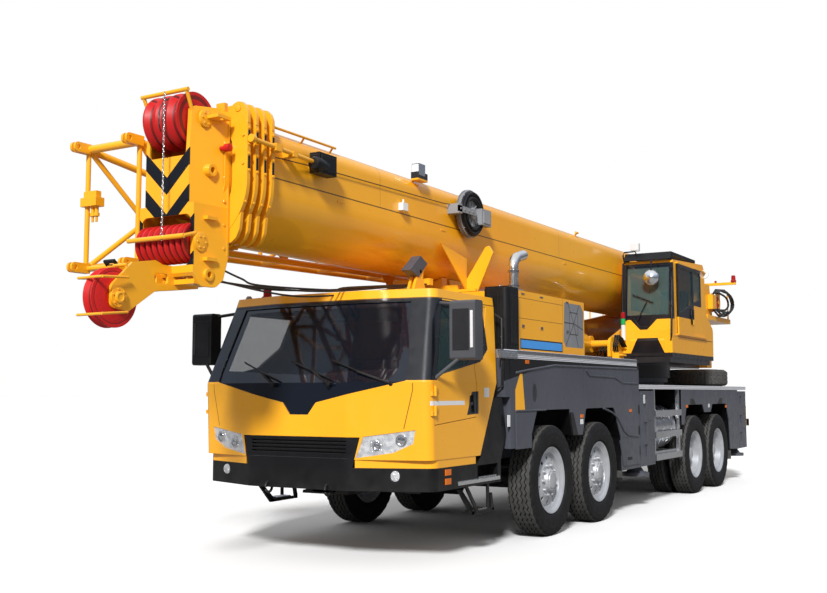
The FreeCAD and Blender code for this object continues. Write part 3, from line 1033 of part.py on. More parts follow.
def build():
    """All sub-parts by name, in stations from the first axle."""
    parts = {"chassis_frame": chassis_frame()}
    wheels(parts)
    axles(parts)
    outriggers(parts)
    decks(parts)
    parts["fenders"] = Part.makeCompound([pair(front_fender()), pair(rear_fender()), pair(cab_post())])
    parts["side_tanks"] = pair(tank())
    parts["engine_hood"] = engine_hood()
    parts["engine_block"] = engine_block()
    parts["boom_rest"] = boom_rest()
    stacks(parts)
    parts["spare_wheel"] = spare_wheel()
    cab(parts)
    parts["cab_interior"] = cab_interior()
    cab_front(parts)
    parts["mirror_left"] = mirror()
    parts["mirror_right"] = mirrored(parts["mirror_left"])
    parts["turntable"] = turntable()
    parts["counterweight"] = counterweight()
    parts["winch"] = winch(*WINCH_AT)
    operator_cab(parts)
    boom(parts)
    sheaves(parts)
    parts["fly_jib"] = jib()
    luff_cylinder(parts)
    return parts


def centre_x(parts):
    bounds = Part.makeCompound(list(parts.values())).BoundBox
    return (bounds.XMin + bounds.XMax) / 2


def main():
    os.makedirs("parts", exist_ok=True)
    parts = build()
    shift = V(-centre_x(parts), 0, 0)
    for name, shape in parts.items():
        moved = shape.copy()
        moved.translate(shift)
        moved.exportStep(f"parts/{name}.step")
        print(name, len(moved.Solids), round(moved.Volume / 1e9, 4), moved.isValid())


if __name__ == "__main__":
    main()
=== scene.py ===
import json
import math
from functools import reduce
from operator import and_

import bpy
from mathutils import Matrix, Vector


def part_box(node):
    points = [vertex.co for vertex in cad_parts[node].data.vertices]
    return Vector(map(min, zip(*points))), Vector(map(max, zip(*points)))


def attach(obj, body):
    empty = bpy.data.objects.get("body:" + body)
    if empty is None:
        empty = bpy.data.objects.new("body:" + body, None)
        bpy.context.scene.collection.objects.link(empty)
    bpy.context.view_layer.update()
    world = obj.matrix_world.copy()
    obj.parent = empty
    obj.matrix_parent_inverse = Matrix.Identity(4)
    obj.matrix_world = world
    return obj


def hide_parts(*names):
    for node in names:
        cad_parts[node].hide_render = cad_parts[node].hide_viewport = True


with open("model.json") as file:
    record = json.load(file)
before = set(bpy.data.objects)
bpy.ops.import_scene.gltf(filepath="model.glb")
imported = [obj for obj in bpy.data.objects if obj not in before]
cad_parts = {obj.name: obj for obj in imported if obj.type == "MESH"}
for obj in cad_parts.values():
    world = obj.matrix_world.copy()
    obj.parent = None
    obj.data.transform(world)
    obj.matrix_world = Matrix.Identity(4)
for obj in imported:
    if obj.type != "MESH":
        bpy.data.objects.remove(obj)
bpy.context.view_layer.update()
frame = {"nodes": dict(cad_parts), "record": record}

# Shapes and masks are placed by station: metres ahead of the first axle, left of the middle, above ground
AXLE_1 = (sum(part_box("wheel_1_left"), Vector()) / 2).x
AXLES = (0.0, -1.488, -5.766, -7.132)
BODY_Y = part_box("fenders")[1].y
SKIN_Y = 1.373
BOOM_SEAM_Z = 3.36
COLLARS = (("boom_base", 4.0), ("boom_2", 4.107), ("boom_3", 4.214), ("boom_4", 4.321))
COLLAR_HALF, COLLAR_TOP = 0.532, 0.602
MIRROR_X = (2.38, 2.54)
REEL = (0.4, 3.65)
UPPER_SHEAVE, LOWER_SHEAVE, ARM_SHEAVE = (4.588, 3.85), (4.642, 2.81), (5.30, 2.32)
STACK_Y = 0.60
WINCH = (-8.65, 2.56)
SPARE = (-8.2, 0.64)
X, Y, Z = (1, 0, 0), (0, 1, 0), (0, 0, 1)
SIDES = (1, -1)

# Photograph: 827 x 593 pixels, horizontal field from a focal length of 1037.86 pixels
EYE = (12.8205, 6.0689, 1.5811)
RIGHT = (-0.51285, 0.858476, -0.002003)
UP = (0.079067, 0.049558, 0.995637)
LENS_MM, SENSOR_MM = 45.18, 36.0

KEY_FROM = (0.78, 0.30, 0.55)
KEY_STRENGTH, KEY_DEGREES = 4.0, 9
WORLD_FILL = 0.5
SKY = ((0.0, (0.10, 0.10, 0.11, 1)), (0.16, (0.16, 0.17, 0.2, 1)), (0.42, (0.35, 0.42, 0.55, 1)),
       (0.62, (0.8, 0.85, 0.95, 1)), (1.0, (0.95, 0.97, 1.0, 1)))
FLOOR_SIZE = 400.0

# Paints have a tone and a deeper tone
YELLOW = (0.98, 0.46, 0.016), (0.93, 0.41, 0.012)
CHASSIS_GREY = (0.078, 0.082, 0.104), (0.0624, 0.0656, 0.0832)
DECK_GREY = (0.2, 0.2, 0.215), (0.16, 0.16, 0.175)
RED = (0.62, 0.014, 0.013), (0.5, 0.01, 0.01)
AXLE_BLACK = (0.01, 0.01, 0.012), (0.007, 0.007, 0.008)
BLACK = (0.0065, 0.0065, 0.0075)
DUST = (0.42, 0.38, 0.31)
WORN = (0.5, 0.48, 0.45)
SCREEN_BLACK = (0.004, 0.005, 0.008)
INSIDE_GREY = (0.032, 0.034, 0.038)
SEAM_DARK = (0.16, 0.075, 0.006)
# Painted shade: dark lines that stand in for the raised ribs of the hood's vent panel
RIB_PAINTED_SHADE = (0.05, 0.051, 0.056)
PALE = (0.75, 0.76, 0.78)
BLUE = (0.06, 0.34, 0.85)

TREAD_STEPS, TREAD_Y, TYRE_HALF = 192, 0.118, 0.155
WHEEL_NUTS, HAND_HOLES, CAP_BOLTS = 10, 10, 8
BOX_FACES = [(0, 1, 3, 2), (4, 6, 7, 5), (0, 4, 5, 1), (2, 3, 7, 6), (0, 2, 6, 4), (1, 5, 7, 3)]


def placed(node):
    """Corners of a CAD node's box by station."""
    return [corner - Vector((AXLE_1, 0, 0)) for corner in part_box(node)]


def around(count, radius, a=0.0, b=0.0, start=0.0, tall=None):
    """Points spread evenly round a circle or an ellipse about (a, b)."""
    turns = (start + 2 * math.pi * k / count for k in range(count))
    return [(a + radius * math.cos(t), b + (tall or radius) * math.sin(t)) for t in turns]


class Value:
    """A shader socket in sums: comparisons give masks, & multiplies them and | takes the larger."""

    def __init__(self, look, socket):
        self.look, self.socket = look, socket

    def __abs__(self):
        return self.look.math("ABSOLUTE", self)

    def within(self, low, high):
        return (self > low) & (self < high)


for word, named in (("add", "ADD"), ("sub", "SUBTRACT"), ("mul", "MULTIPLY"), ("truediv", "DIVIDE"),
                    ("gt", "GREATER_THAN"), ("lt", "LESS_THAN"), ("and", "MULTIPLY"), ("or", "MAXIMUM")):
    setattr(Value, f"__{word}__", lambda self, other, kind=named: self.look.math(kind, self, other))


class Look:
    """One procedural material, with short calls for its nodes."""

    def __init__(self, name, rough, origin=AXLE_1, **inputs):
        self.material = bpy.data.materials.new(name)
        self.material.use_nodes = True
        self.tree = self.material.node_tree
        self.shader = self.tree.nodes["Principled BSDF"]
        values = {"Roughness": rough, "Coat_Roughness": 0.08, "Specular_IOR_Level": 0.3, **inputs}
        for key, value in values.items():
            self.feed(self.shader.inputs[key.replace("_", " ")], value)
        self.place = self.node("TexCoord").outputs["Object"]
        x, self.y, self.z = (Value(self, s) for s in self.node("SeparateXYZ", self.place).outputs)
        self.x, self.out = x - origin, abs(self.y)

    def node(self, kind, *feeds, **values):
        """New node, its first inputs fed in order, other inputs and settings given by name."""
        made = self.tree.nodes.new("ShaderNode" + kind)
        for key, value in values.items():
            if key in made.inputs:
                made.inputs[key].default_value = value
            else:
                setattr(made, key, value)
        for socket, value in zip(made.inputs, feeds):
            self.feed(socket, value)
        return made

    def feed(self, socket, value):
        """Sets a socket to a number or colour, or links another socket to it."""
        value = getattr(value, "socket", value)
        if isinstance(value, bpy.types.NodeSocket):
            self.tree.links.new(value, socket)
        else:
            socket.default_value = (*value, 1.0) if socket.type == "RGBA" else value

    def math(self, operation, first, second=0.0):
        return Value(self, self.node("Math", first, second, operation=operation).outputs[0])

    def mix(self, share, first, second):
        made = self.node("Mix", share, data_type="RGBA")
        self.feed(made.inputs[6], first)
        self.feed(made.inputs[7], second)
        return made.outputs[2]

    def over(self, share, colour):
        """Lays a colour over the tone so far, where the mask says."""
        self.tone = self.mix(share, self.tone, colour)

    def ramp(self, value, low, high, to_low=0.0, to_high=1.0):
        return Value(self, self.node("MapRange", value, low, high, to_low, to_high).outputs[0])

    def noise(self, scale, detail, stretch=None):
        place = self.place
        if stretch:
            mapping = self.node("Mapping", place)
            mapping.inputs["Scale"].default_value = stretch
            place = mapping.outputs["Vector"]
        return Value(self, self.node("TexNoise", place, Scale=scale, Detail=detail).outputs["Fac"])

    def spread(self, scale, detail, *limits):
        """Noise between limits, mapped to 0 and 1 or to a second pair."""
        return self.ramp(self.noise(scale, detail), *limits)

    def zone(self, **spans):
        """Mask between (low, high) pairs along the named coordinates."""
        return reduce(and_, [getattr(self, name).within(*span) for name, span in spans.items()])

    def slope(self, plane, first, second):
        """Sum of a plane's two coordinates times factors, for slanted edges."""
        return getattr(self, plane[0]) * first + getattr(self, plane[1]) * second

    def seam(self, first, second, width=0.006):
        """Mask of a thin straight line between two (x, z) points."""
        (a0, b0), (a1, b1) = first, second
        length = math.hypot(a1 - a0, b1 - b0)
        da, db = (a1 - a0) / length, (b1 - b0) / length
        along = self.slope("xz", da, db) - (a0 * da + b0 * db)
        across = abs(self.slope("xz", -db, da) - (b0 * da - a0 * db))
        return (across < width / 2) & along.within(0.0, length)

    def patch(self, points, plane="xz"):
        """Mask of a convex outline, its corners listed anticlockwise."""
        masks = [self.slope(plane, b0 - b1, a1 - a0) > (b0 - b1) * a0 + (a1 - a0) * b0
                 for (a0, b0), (a1, b1) in zip(points, points[1:] + points[:1])]
        return reduce(and_, masks)

    def edges(self, radius):
        """(rounded normal, share near an edge) from the shader's own bevel."""
        rounded = self.node("Bevel", Radius=radius, samples=4).outputs[0]
        true = self.node("NewGeometry").outputs["Normal"]
        dot = self.node("VectorMath", rounded, true, operation="DOT_PRODUCT").outputs["Value"]
        return rounded, self.ramp(dot, 0.97, 0.8)

    def dusty(self, amount):
        """Dust lying on flat tops and thrown up near the ground."""
        normal = self.node("NewGeometry").outputs["Normal"]
        tops = self.ramp(self.node("SeparateXYZ", normal).outputs["Z"], 0.5, 0.95)
        share = (self.ramp(self.z, 0.9, 0.2) | tops) & self.spread(6.0, 6.0, 0.35, 0.75)
        self.over(share * amount, DUST)

    def bump(self, height, strength, distance, normal):
        made = self.node("Bump", Strength=strength, Distance=distance)
        self.feed(made.inputs["Height"], height)
        self.feed(made.inputs["Normal"], normal)
        self.feed(self.shader.inputs["Normal"], made.outputs[0])

    def finish(self, rough=None):
        self.feed(self.shader.inputs["Base Color"], self.tone)
        if rough is not None:
            self.feed(self.shader.inputs["Roughness"], rough)
        return self.material


def shade(colour, share):
    return tuple(c * share for c in colour)


def paint(name, tones, rough=0.34, coat=0.55, dust=0.35, wear=0.25, marks=None):
    """Sprayed paint: slow shifts of tone, dust, light wear on edges and a faint orange peel."""
    look = Look(name, rough, Coat_Weight=coat)
    look.tone = look.mix(look.spread(0.7, 3.0, 0.35, 0.65), *tones)
    if marks:
        marks(look)
    normal, edge = look.edges(0.006)
    look.over((edge & look.spread(24.0, 5.0, 0.5, 0.68)) * wear, WORN)
    look.dusty(dust)
    look.bump(look.noise(160.0, 2.0), 0.06, 0.002, normal)
    return look.finish(look.spread(9.0, 5.0, 0.3, 0.7, rough - 0.07, rough + 0.1))


def metal(name, colour, rough, grain=(60.0, 1.0, 60.0), dirt=0.3):
    look = Look(name, rough, Metallic=1.0)
    streaks = look.noise(5.0, 4.0, grain)
    look.tone = look.mix(look.ramp(streaks, 0.3, 0.7), colour, shade(colour, 0.8))
    look.over(look.spread(4.0, 6.0, 0.5, 0.8) * dirt, (0.2, 0.18, 0.16))
    look.bump(streaks, 0.05, 0.001, look.edges(0.004)[0])
    return look.finish(look.ramp(streaks, 0.3, 0.7, rough - 0.08, rough + 0.1))


def plastic(name, colour, rough=0.5, grain=420.0, dust=0.4):
    look = Look(name, rough)
    look.tone = look.mix(look.spread(1.4, 4.0, 0.35, 0.65), colour, shade(colour, 0.75))
    normal, edge = look.edges(0.005)
    # Painted highlight: every edge lightened a little towards grey
    look.over(edge * 0.12, (0.3, 0.3, 0.3))
    look.dusty(dust)
    look.bump(look.noise(grain, 2.0), 0.12, 0.0012, normal)
    return look.finish(look.spread(7.0, 5.0, 0.3, 0.7, rough - 0.08, rough + 0.1))


def rubber():
    """Tyre rubber: dark grooves, a dull worn crown and fine grain, about the wheel's own middle."""
    look = Look("tyre_rubber", 0.72, origin=0.0, Specular_IOR_Level=0.22)
    look.tone = look.mix(look.spread(9.0, 5.0, 0.35, 0.7), (0.0085, 0.0085, 0.009), (0.013, 0.013, 0.0135))
    normal, edge = look.edges(0.003)
    reach = look.math("SQRT", look.x * look.x + look.z * look.z)
    crown = look.ramp(reach, 0.603, 0.6085)
    look.over(crown & look.spread(26.0, 5.0, 0.3, 0.7, 0.45, 1.0), (0.085, 0.083, 0.078))
    look.over(look.spread(60.0, 4.0, 0.45, 0.75) * 0.25, (0.045, 0.042, 0.038))
    # Painted highlight: edges and wall rings lightened towards dark grey
    look.over(edge * 0.3, (0.06, 0.06, 0.058))
    look.bump(look.noise(180.0, 2.0), 0.15, 0.0015, normal)
    return look.finish(look.spread(14.0, 4.0, 0.3, 0.7, 0.62, 0.82))


def rim_paint():
    """Bright aluminium paint with a little brake dust in random patches."""
    look = Look("rim_silver", 0.36, Metallic=0.35)
    look.tone = look.mix(look.spread(3.0, 3.0, 0.35, 0.65), (0.52, 0.53, 0.55), (0.45, 0.46, 0.485))
    look.over(look.spread(7.0, 4.0, 0.5, 0.85) * 0.3, (0.2, 0.19, 0.18))
    look.bump(look.noise(200.0, 2.0), 0.03, 0.0005, look.edges(0.0025)[0])
    return look.finish(look.spread(5.0, 3.0, 0.3, 0.7, 0.34, 0.4))


def glass(name, colour, clear=0.85, border=None, lens=False):
    """Tinted pane, printed dark where the border says; a lens has bright facets below the screen, which are
    painted reflections.
    """
    look = Look(name, 0.03, Coat_Weight=0.2, IOR=1.5, Specular_IOR_Level=0.5, Alpha=1.0 - clear)
    look.tone = look.mix(look.spread(2.0, 3.0, 0.3, 0.7), colour, shade(colour, 0.8))
    if border:
        printed = border(look)
        look.over(printed, (0.006, 0.009, 0.016))
        alpha = look.ramp(printed, 0.0, 1.0, 1.0 - clear, 1.0)
        if lens:
            # Painted reflections: white and pale grey facets on the lens part below the screen
            low = look.z < 1.3
            look.over(low, look.mix(look.spread(17.0, 1.0, 0.42, 0.6), (1.0, 1.0, 1.0), (0.66, 0.69, 0.74)))
            alpha = (alpha & look.ramp(low, 0.0, 1.0, 1.0, 0.5)) | ((look.x < 1.45) * 0.82)
        look.feed(look.shader.inputs["Alpha"], alpha)
    return look.finish()


def cab_marks(look):
    """Black pillars, panes' surround and handle, dark seams, pale strip, blank label, dark inside."""
    x, out, z = look.x, look.out, look.z
    flank = out > 1.18
    pillar = (look.slope("xz", 1.0, 0.382) > 2.585 + 1.74 * 0.382 - 0.012) & z.within(1.705, 2.488)
    window = flank & look.patch([(1.463, 2.03), (1.663, 1.896), (2.70, 1.725), (2.40, 2.475),
                                 (1.463, 2.475)])
    look.over(pillar | window | ((x > 2.3) & z.within(2.44, 2.488)), SCREEN_BLACK)
    lean = abs(out - look.ramp(z, 1.22, 1.62, 1.09, 1.19))
    line = (lean < 0.004) & (x > 2.55) & z.within(1.26, 1.68)
    look.over(line | (abs(z - 2.492) < 0.005), SEAM_DARK)
    strip = look.zone(x=(2.05, 2.70), z=(1.474, 1.514))
    label = look.zone(x=(1.53, 1.64), z=(1.545, 1.64))
    look.over(flank & (strip | label), PALE)
    look.over(flank & look.patch([(1.765, 1.385), (2.005, 1.375), (1.90, 1.60), (1.765, 1.605)]),
              SCREEN_BLACK)
    lean_in = (z - 1.69) | 0.0
    rear = look.ramp(z, 0.975, 2.47, 1.70, 0.926) | look.ramp(z, 0.975, 2.47, 1.486, 1.16)
    inside = ((out + lean_in * 0.141) < 1.313) & ((x + lean_in * 0.397) < 2.62) & ((x - rear) > 0.02)
    look.over(inside & z.within(1.0, 2.54), INSIDE_GREY)


def hood_marks(look):
    """Blue stripe in a black border, grey vent panel with its ribs drawn as painted shade, and panel seams on both
    flanks.
    """
    low, high = placed("engine_hood")
    flank = look.out > high.y - 0.01
    vent = low.x + 0.66
    look.over(flank & look.zone(x=(vent + 0.04, high.x - 0.13), z=(2.062, 2.178)), SCREEN_BLACK)
    look.over(flank & look.zone(x=(vent + 0.055, high.x - 0.145), z=(2.076, 2.164)), BLUE)
    panel = look.patch([(low.x + 0.05, 2.13), (vent - 0.06, 2.13), (vent, 2.2), (vent - 0.03, 2.66),
                        (low.x + 0.11, 2.66), (low.x + 0.03, 2.58), (low.x + 0.03, 2.2)])
    look.over(flank & panel,
              look.mix(look.spread(3.0, 4.0, 0.3, 0.7), (0.25, 0.255, 0.27), (0.2, 0.205, 0.22)))
    for first, second in (((vent + 0.02, 2.398), (high.x, 2.398)), ((vent + 0.02, 2.05), (vent + 0.02, 2.69)),
                          ((vent + 0.02, 2.62), (high.x, 2.62))):
        look.over(flank & look.seam(first, second), SEAM_DARK)
    # Painted shade: the star of ribs and the square round it are dark lines in place of raised ribs
    centre = (low.x + 0.34, 2.42)
    for x, z in ((low.x + 0.03, 2.36), (low.x + 0.2, 2.14), (vent - 0.06, 2.14), (vent - 0.02, 2.42),
                 (vent - 0.14, 2.66), (low.x + 0.16, 2.66)):
        look.over(flank & look.seam(centre, (x, z), 0.014), RIB_PAINTED_SHADE)
    square = abs(look.x - centre[0]) | abs(look.z - centre[1])
    look.over(flank & square.within(0.125, 0.138), RIB_PAINTED_SHADE)


def boom_marks(look):
    """Weld seams along and round the boom, grey reel and case, black lamp bracket."""
    seam = (abs(look.z - (BOOM_SEAM_Z + 0.095)) < 0.006) & (look.out > 0.455) & (look.x < 3.98)
    look.over(seam, SEAM_DARK)
    for x in (2.2, -2.4):
        joint = (abs(look.x - x) < 0.003) & (look.z > BOOM_SEAM_Z + 0.1) & (look.out > 0.4)
        look.over(joint, (0.4, 0.2, 0.01))
    for y, x_span, z_span, colour in ((0.507, (0.1, 0.7), (3.35, 3.95), (0.2, 0.205, 0.215)),
                                      (0.567, (0.0, 0.3), (3.5, 3.75), (0.32, 0.33, 0.36)),
                                      (0.44, (1.34, 1.58), (3.87, 5.0), (0.02, 0.02, 0.022))):
        look.over((look.y > y) & look.zone(x=x_span, z=z_span), colour)


def head_marks(look):
    """Black and yellow chevrons on the head's front plate."""
    share = look.math("FRACT", (look.z - look.out * 0.95 - 1.385) / 0.305)
    look.over(look.zone(x=(4.712, 4.74), z=(2.62, 3.6)) & (share < 0.475), SCREEN_BLACK)


def sheave_groove_shade(look):
    """Painted shade in the grooves between the flanges of the sheaves at the boom's head."""
    for (x, z), inner in ((UPPER_SHEAVE, 0.205), (LOWER_SHEAVE, 0.145), (ARM_SHEAVE, 0.205)):
        dx, dz = look.x - x, look.z - z
        groove = (dx * dx + dz * dz).within((inner - 0.035) ** 2, inner * inner)
        # Painted shade: dark red ring in each groove
        look.over(groove * 0.75, (0.05, 0.012, 0.011))


def turntable_underside_shade(look):
    """Painted shade on the underside and plate edge of the turntable, darkened to near black."""
    # Painted shade: below 2.14 m, near black
    look.over(look.z < 2.14, (0.018, 0.018, 0.021))


def deck_marks(look):
    """Pale metal edges along both decks, with dark lines."""
    edge = look.out > BODY_Y - 0.004
    look.over(edge, (0.62, 0.63, 0.67))
    for level in (1.964, 1.982, 2.018, 1.658, 1.683):
        look.over(edge & (abs(look.z - level) < 0.003), (0.16, 0.16, 0.175))


def fender_marks(look):
    """Painted shadow in the gap under the deck, yellow strip, painted shade in the oval recess, in the arches and
    at their corners, and seams.
    """
    x, z = look.x, look.z
    flank = look.out > BODY_Y - 0.01
    # Painted shadow: near black strip in the gap between the deck and the fender's top
    gap_shadow = ((z + ((x - 0.12) | 0.0) * 0.17) > 1.9) & (z > 1.7) & (x > -3.0)
    look.over(flank & gap_shadow, (0.0025, 0.0025, 0.003))
    look.over(flank & look.patch([(0.74, 1.4), (0.98, 1.4), (0.98, 1.62), (0.86, 1.79), (0.80, 1.79)]),
              YELLOW[0])
    # Painted shade: darker oval where the recess is
    dx, dz = (x - 0.49) / 0.055, (z - 1.59) / 0.1
    look.over(flank & ((dx * dx + dz * dz) < 1.0), (0.025, 0.026, 0.033))
    # Painted shade: surfaces inside the skin, in the wheel arches, near black
    arch_shade = (look.out < BODY_Y - 0.012) & look.zone(x=(-8.3, 0.62), z=(0.0, 1.75))
    look.over(arch_shade, (0.004, 0.004, 0.0045))
    # Painted shadow: the arches' corners beyond the pendants near black, to join the shade
    for x_span, top, pendant in (
            ((-1.30, -0.20), 1.36, [(-0.60, 1.37), (-1.14, 1.37), (-0.99, 1.08), (-0.76, 1.08)]),
            ((-7.40, -5.45), 1.495, [(-5.62, 1.505), (-7.25, 1.505), (-6.72, 1.205), (-6.05, 1.215)])):
        corner = look.zone(x=x_span, z=(1.0, top)) & (look.patch(pendant) < 0.5)
        look.over(flank & corner, (0.003, 0.003, 0.0035))
    for first, second in (((-0.95, 1.44), (-0.95, 1.88)), ((-2.35, 1.0), (-2.35, 1.93)),
                          ((-7.95, 1.1), (-7.95, 1.63)), ((-8.42, 0.66), (-8.42, 1.6)),
                          ((-2.95, 1.0), (-2.3, 1.0))):
        look.over(flank & look.seam(first, second), (0.02, 0.021, 0.026))


def operator_marks(look):
    """Black screen surround, wedge and trapezoid, dark skirt and inside of the operator's cab."""
    low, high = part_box("operator_cab")
    x, y, z = look.x, look.y, look.z
    wedge = (x > -4.79) & z.within(2.56, 2.73) & ((z - abs(y - 0.9) * 1.05) > 2.5)
    trim = (x > -4.69) & look.patch([(0.66, 2.13), (1.26, 2.13), (1.12, 2.43), (0.80, 2.43)], "yz")
    look.over(((x > -4.83) & z.within(2.72, 3.6)) | wedge | trim, SCREEN_BLACK)
    look.over(z < 2.2, (0.014, 0.014, 0.016))
    look.over(look.zone(x=(-6.5, -4.86), y=(low.y + 0.035, high.y - 0.035), z=(2.2, 3.64)), INSIDE_GREY)
    look.over((y > high.y - 0.05) & look.zone(x=(-6.34, -5.84), z=(3.0, 3.6)), SCREEN_BLACK)


def door_marks(look):
    """Black frame round the pane of the operator's sliding door."""
    look.over((look.z > 2.76) & (look.x < -4.9), SCREEN_BLACK)


def screen_border(look):
    """Printed band of the windscreen: the nose, the lower edge and the rim."""
    out, z = look.out, look.z
    band = ((z - out * 0.05) < 1.765) | ((out + z * 0.168) > 1.33) | (z > 2.41)
    return band & (look.x > 2.2) & (z > 1.3)


def operator_border(look):
    """Printed rim of the operator's front pane."""
    rim = (abs(look.y - 0.955) > 0.33) | (look.z < 2.79) | (look.z > 3.53)
    return rim & (look.x > -4.9)


def cad_materials():
    """Finish of every CAD node that stays, by its slot or its own name."""
    red = dict(rough=0.42, coat=0.05, dust=0.1)
    deck = dict(rough=0.5, coat=0.0)
    kinds = {
        "yellow_paint": paint("yellow", YELLOW),
        "chassis_paint": paint("chassis_grey", CHASSIS_GREY, dust=0.12, coat=0.1),
        "axle_paint": paint("axle_black", AXLE_BLACK, rough=0.5, coat=0.0, dust=0.3),
        "deck_paint": paint("deck_grey", DECK_GREY, **deck),
        "silver_metal": metal("silver", (0.74, 0.75, 0.77), 0.3),
        "steel": metal("steel", (0.62, 0.61, 0.6), 0.18),
        "cast_iron": metal("cast_iron", (0.2, 0.2, 0.2), 0.55),
        "black_plastic": plastic("black_plastic", BLACK, rough=0.42, dust=0.08),
        "dark_trim": plastic("dark_trim", (0.02, 0.02, 0.023), dust=0.15),
        "red_paint": paint("sheave_red", RED, **red),
        "tyre": rubber(),
        "glass": glass("glass_tinted", (0.04, 0.09, 0.095), clear=0.68),
    }
    own = {
        "decks": paint("deck_plate", DECK_GREY, marks=deck_marks, **deck),
        "fenders": paint("fender_grey", CHASSIS_GREY, dust=0.12, wear=0.08, coat=0.1, marks=fender_marks),
        "cab_glass": glass("glass_screen", (0.008, 0.014, 0.024), 0.6, screen_border, lens=True),
        "operator_glass": glass("glass_operator", (0.10, 0.19, 0.185), 0.68, operator_border),
        "mirror_left": plastic("mirror_grey", (0.085, 0.088, 0.097), rough=0.38, dust=0.1),
        "front_bumper": plastic("bumper_black", BLACK, rough=0.35, dust=0.1),
        "headlamps": metal("lamp_chrome", (0.95, 0.96, 0.97), 0.1, grain=(8.0, 8.0, 8.0), dirt=0.0),
        "exhaust_stack": metal("stainless", (0.86, 0.85, 0.82), 0.22, grain=(14.0, 14.0, 2.0), dirt=0.2),
        "head_sheaves": paint("sheaves_red", RED, marks=sheave_groove_shade, **red),
    }
    for node, marks in (("cab_shell", cab_marks), ("engine_hood", hood_marks), ("boom_base", boom_marks),
                        ("boom_head", head_marks), ("operator_cab", operator_marks),
                        ("operator_door", door_marks), ("turntable", turntable_underside_shade)):
        own[node] = paint(f"{node}_yellow", YELLOW, marks=marks)
    own["door_left"] = own["door_right"] = own["cab_shell"]
    for part in frame["record"]["subparts"]:
        node = frame["nodes"][part["node"]]
        node.data.materials.clear()
        node.data.materials.append(own.get(part["node"], kinds[part["material_slot"]]))
    return kinds


def scene_finishes(kinds):
    """(material, slot) of each finish that the added pieces have."""
    return {
        **{slot: (material, slot) for slot, material in kinds.items()},
        "trim": (kinds["dark_trim"], "black_plastic"),
        "lens": (glass("lamp_lens", (0.9, 0.9, 0.92), clear=0.55), "glass"),
        "amber": (plastic("amber_lens", (0.75, 0.17, 0.008), 0.18, dust=0.1), "black_plastic"),
        "red": (plastic("red_lens", (0.35, 0.01, 0.012), 0.2, dust=0.1), "black_plastic"),
        "green": (plastic("green_lens", (0.02, 0.4, 0.1), 0.2, dust=0.05), "black_plastic"),
        "white": (plastic("white_parts", (0.8, 0.8, 0.8), 0.3, dust=0.1), "black_plastic"),
        "grey": (plastic("grey_box", (0.33, 0.34, 0.36), 0.4, dust=0.2), "black_plastic"),
        "hose": (plastic("hose_black", (0.006, 0.006, 0.007), 0.4, 900.0, 0.08), "black_plastic"),
        "bright": (metal("bright", (0.86, 0.87, 0.88), 0.16, (20.0, 20.0, 20.0), 0.15), "steel"),
        "rope": (metal("wire_rope", (0.09, 0.085, 0.08), 0.5, (2.0, 900.0, 900.0)), "steel"),
        "mirror": (metal("mirror_face", (0.9, 0.91, 0.93), 0.03, dirt=0.05), "steel"),
        "rim": (rim_paint(), "silver_metal"),
    }


def bands(rings, sides, closed=False):
    """Faces between neighbouring rings of points."""
    return [(i * sides + k, i * sides + (k + 1) % sides, j * sides + (k + 1) % sides, j * sides + k)
            for i in range(rings if closed else rings - 1) for j in ((i + 1) % rings,) for k in range(sides)]


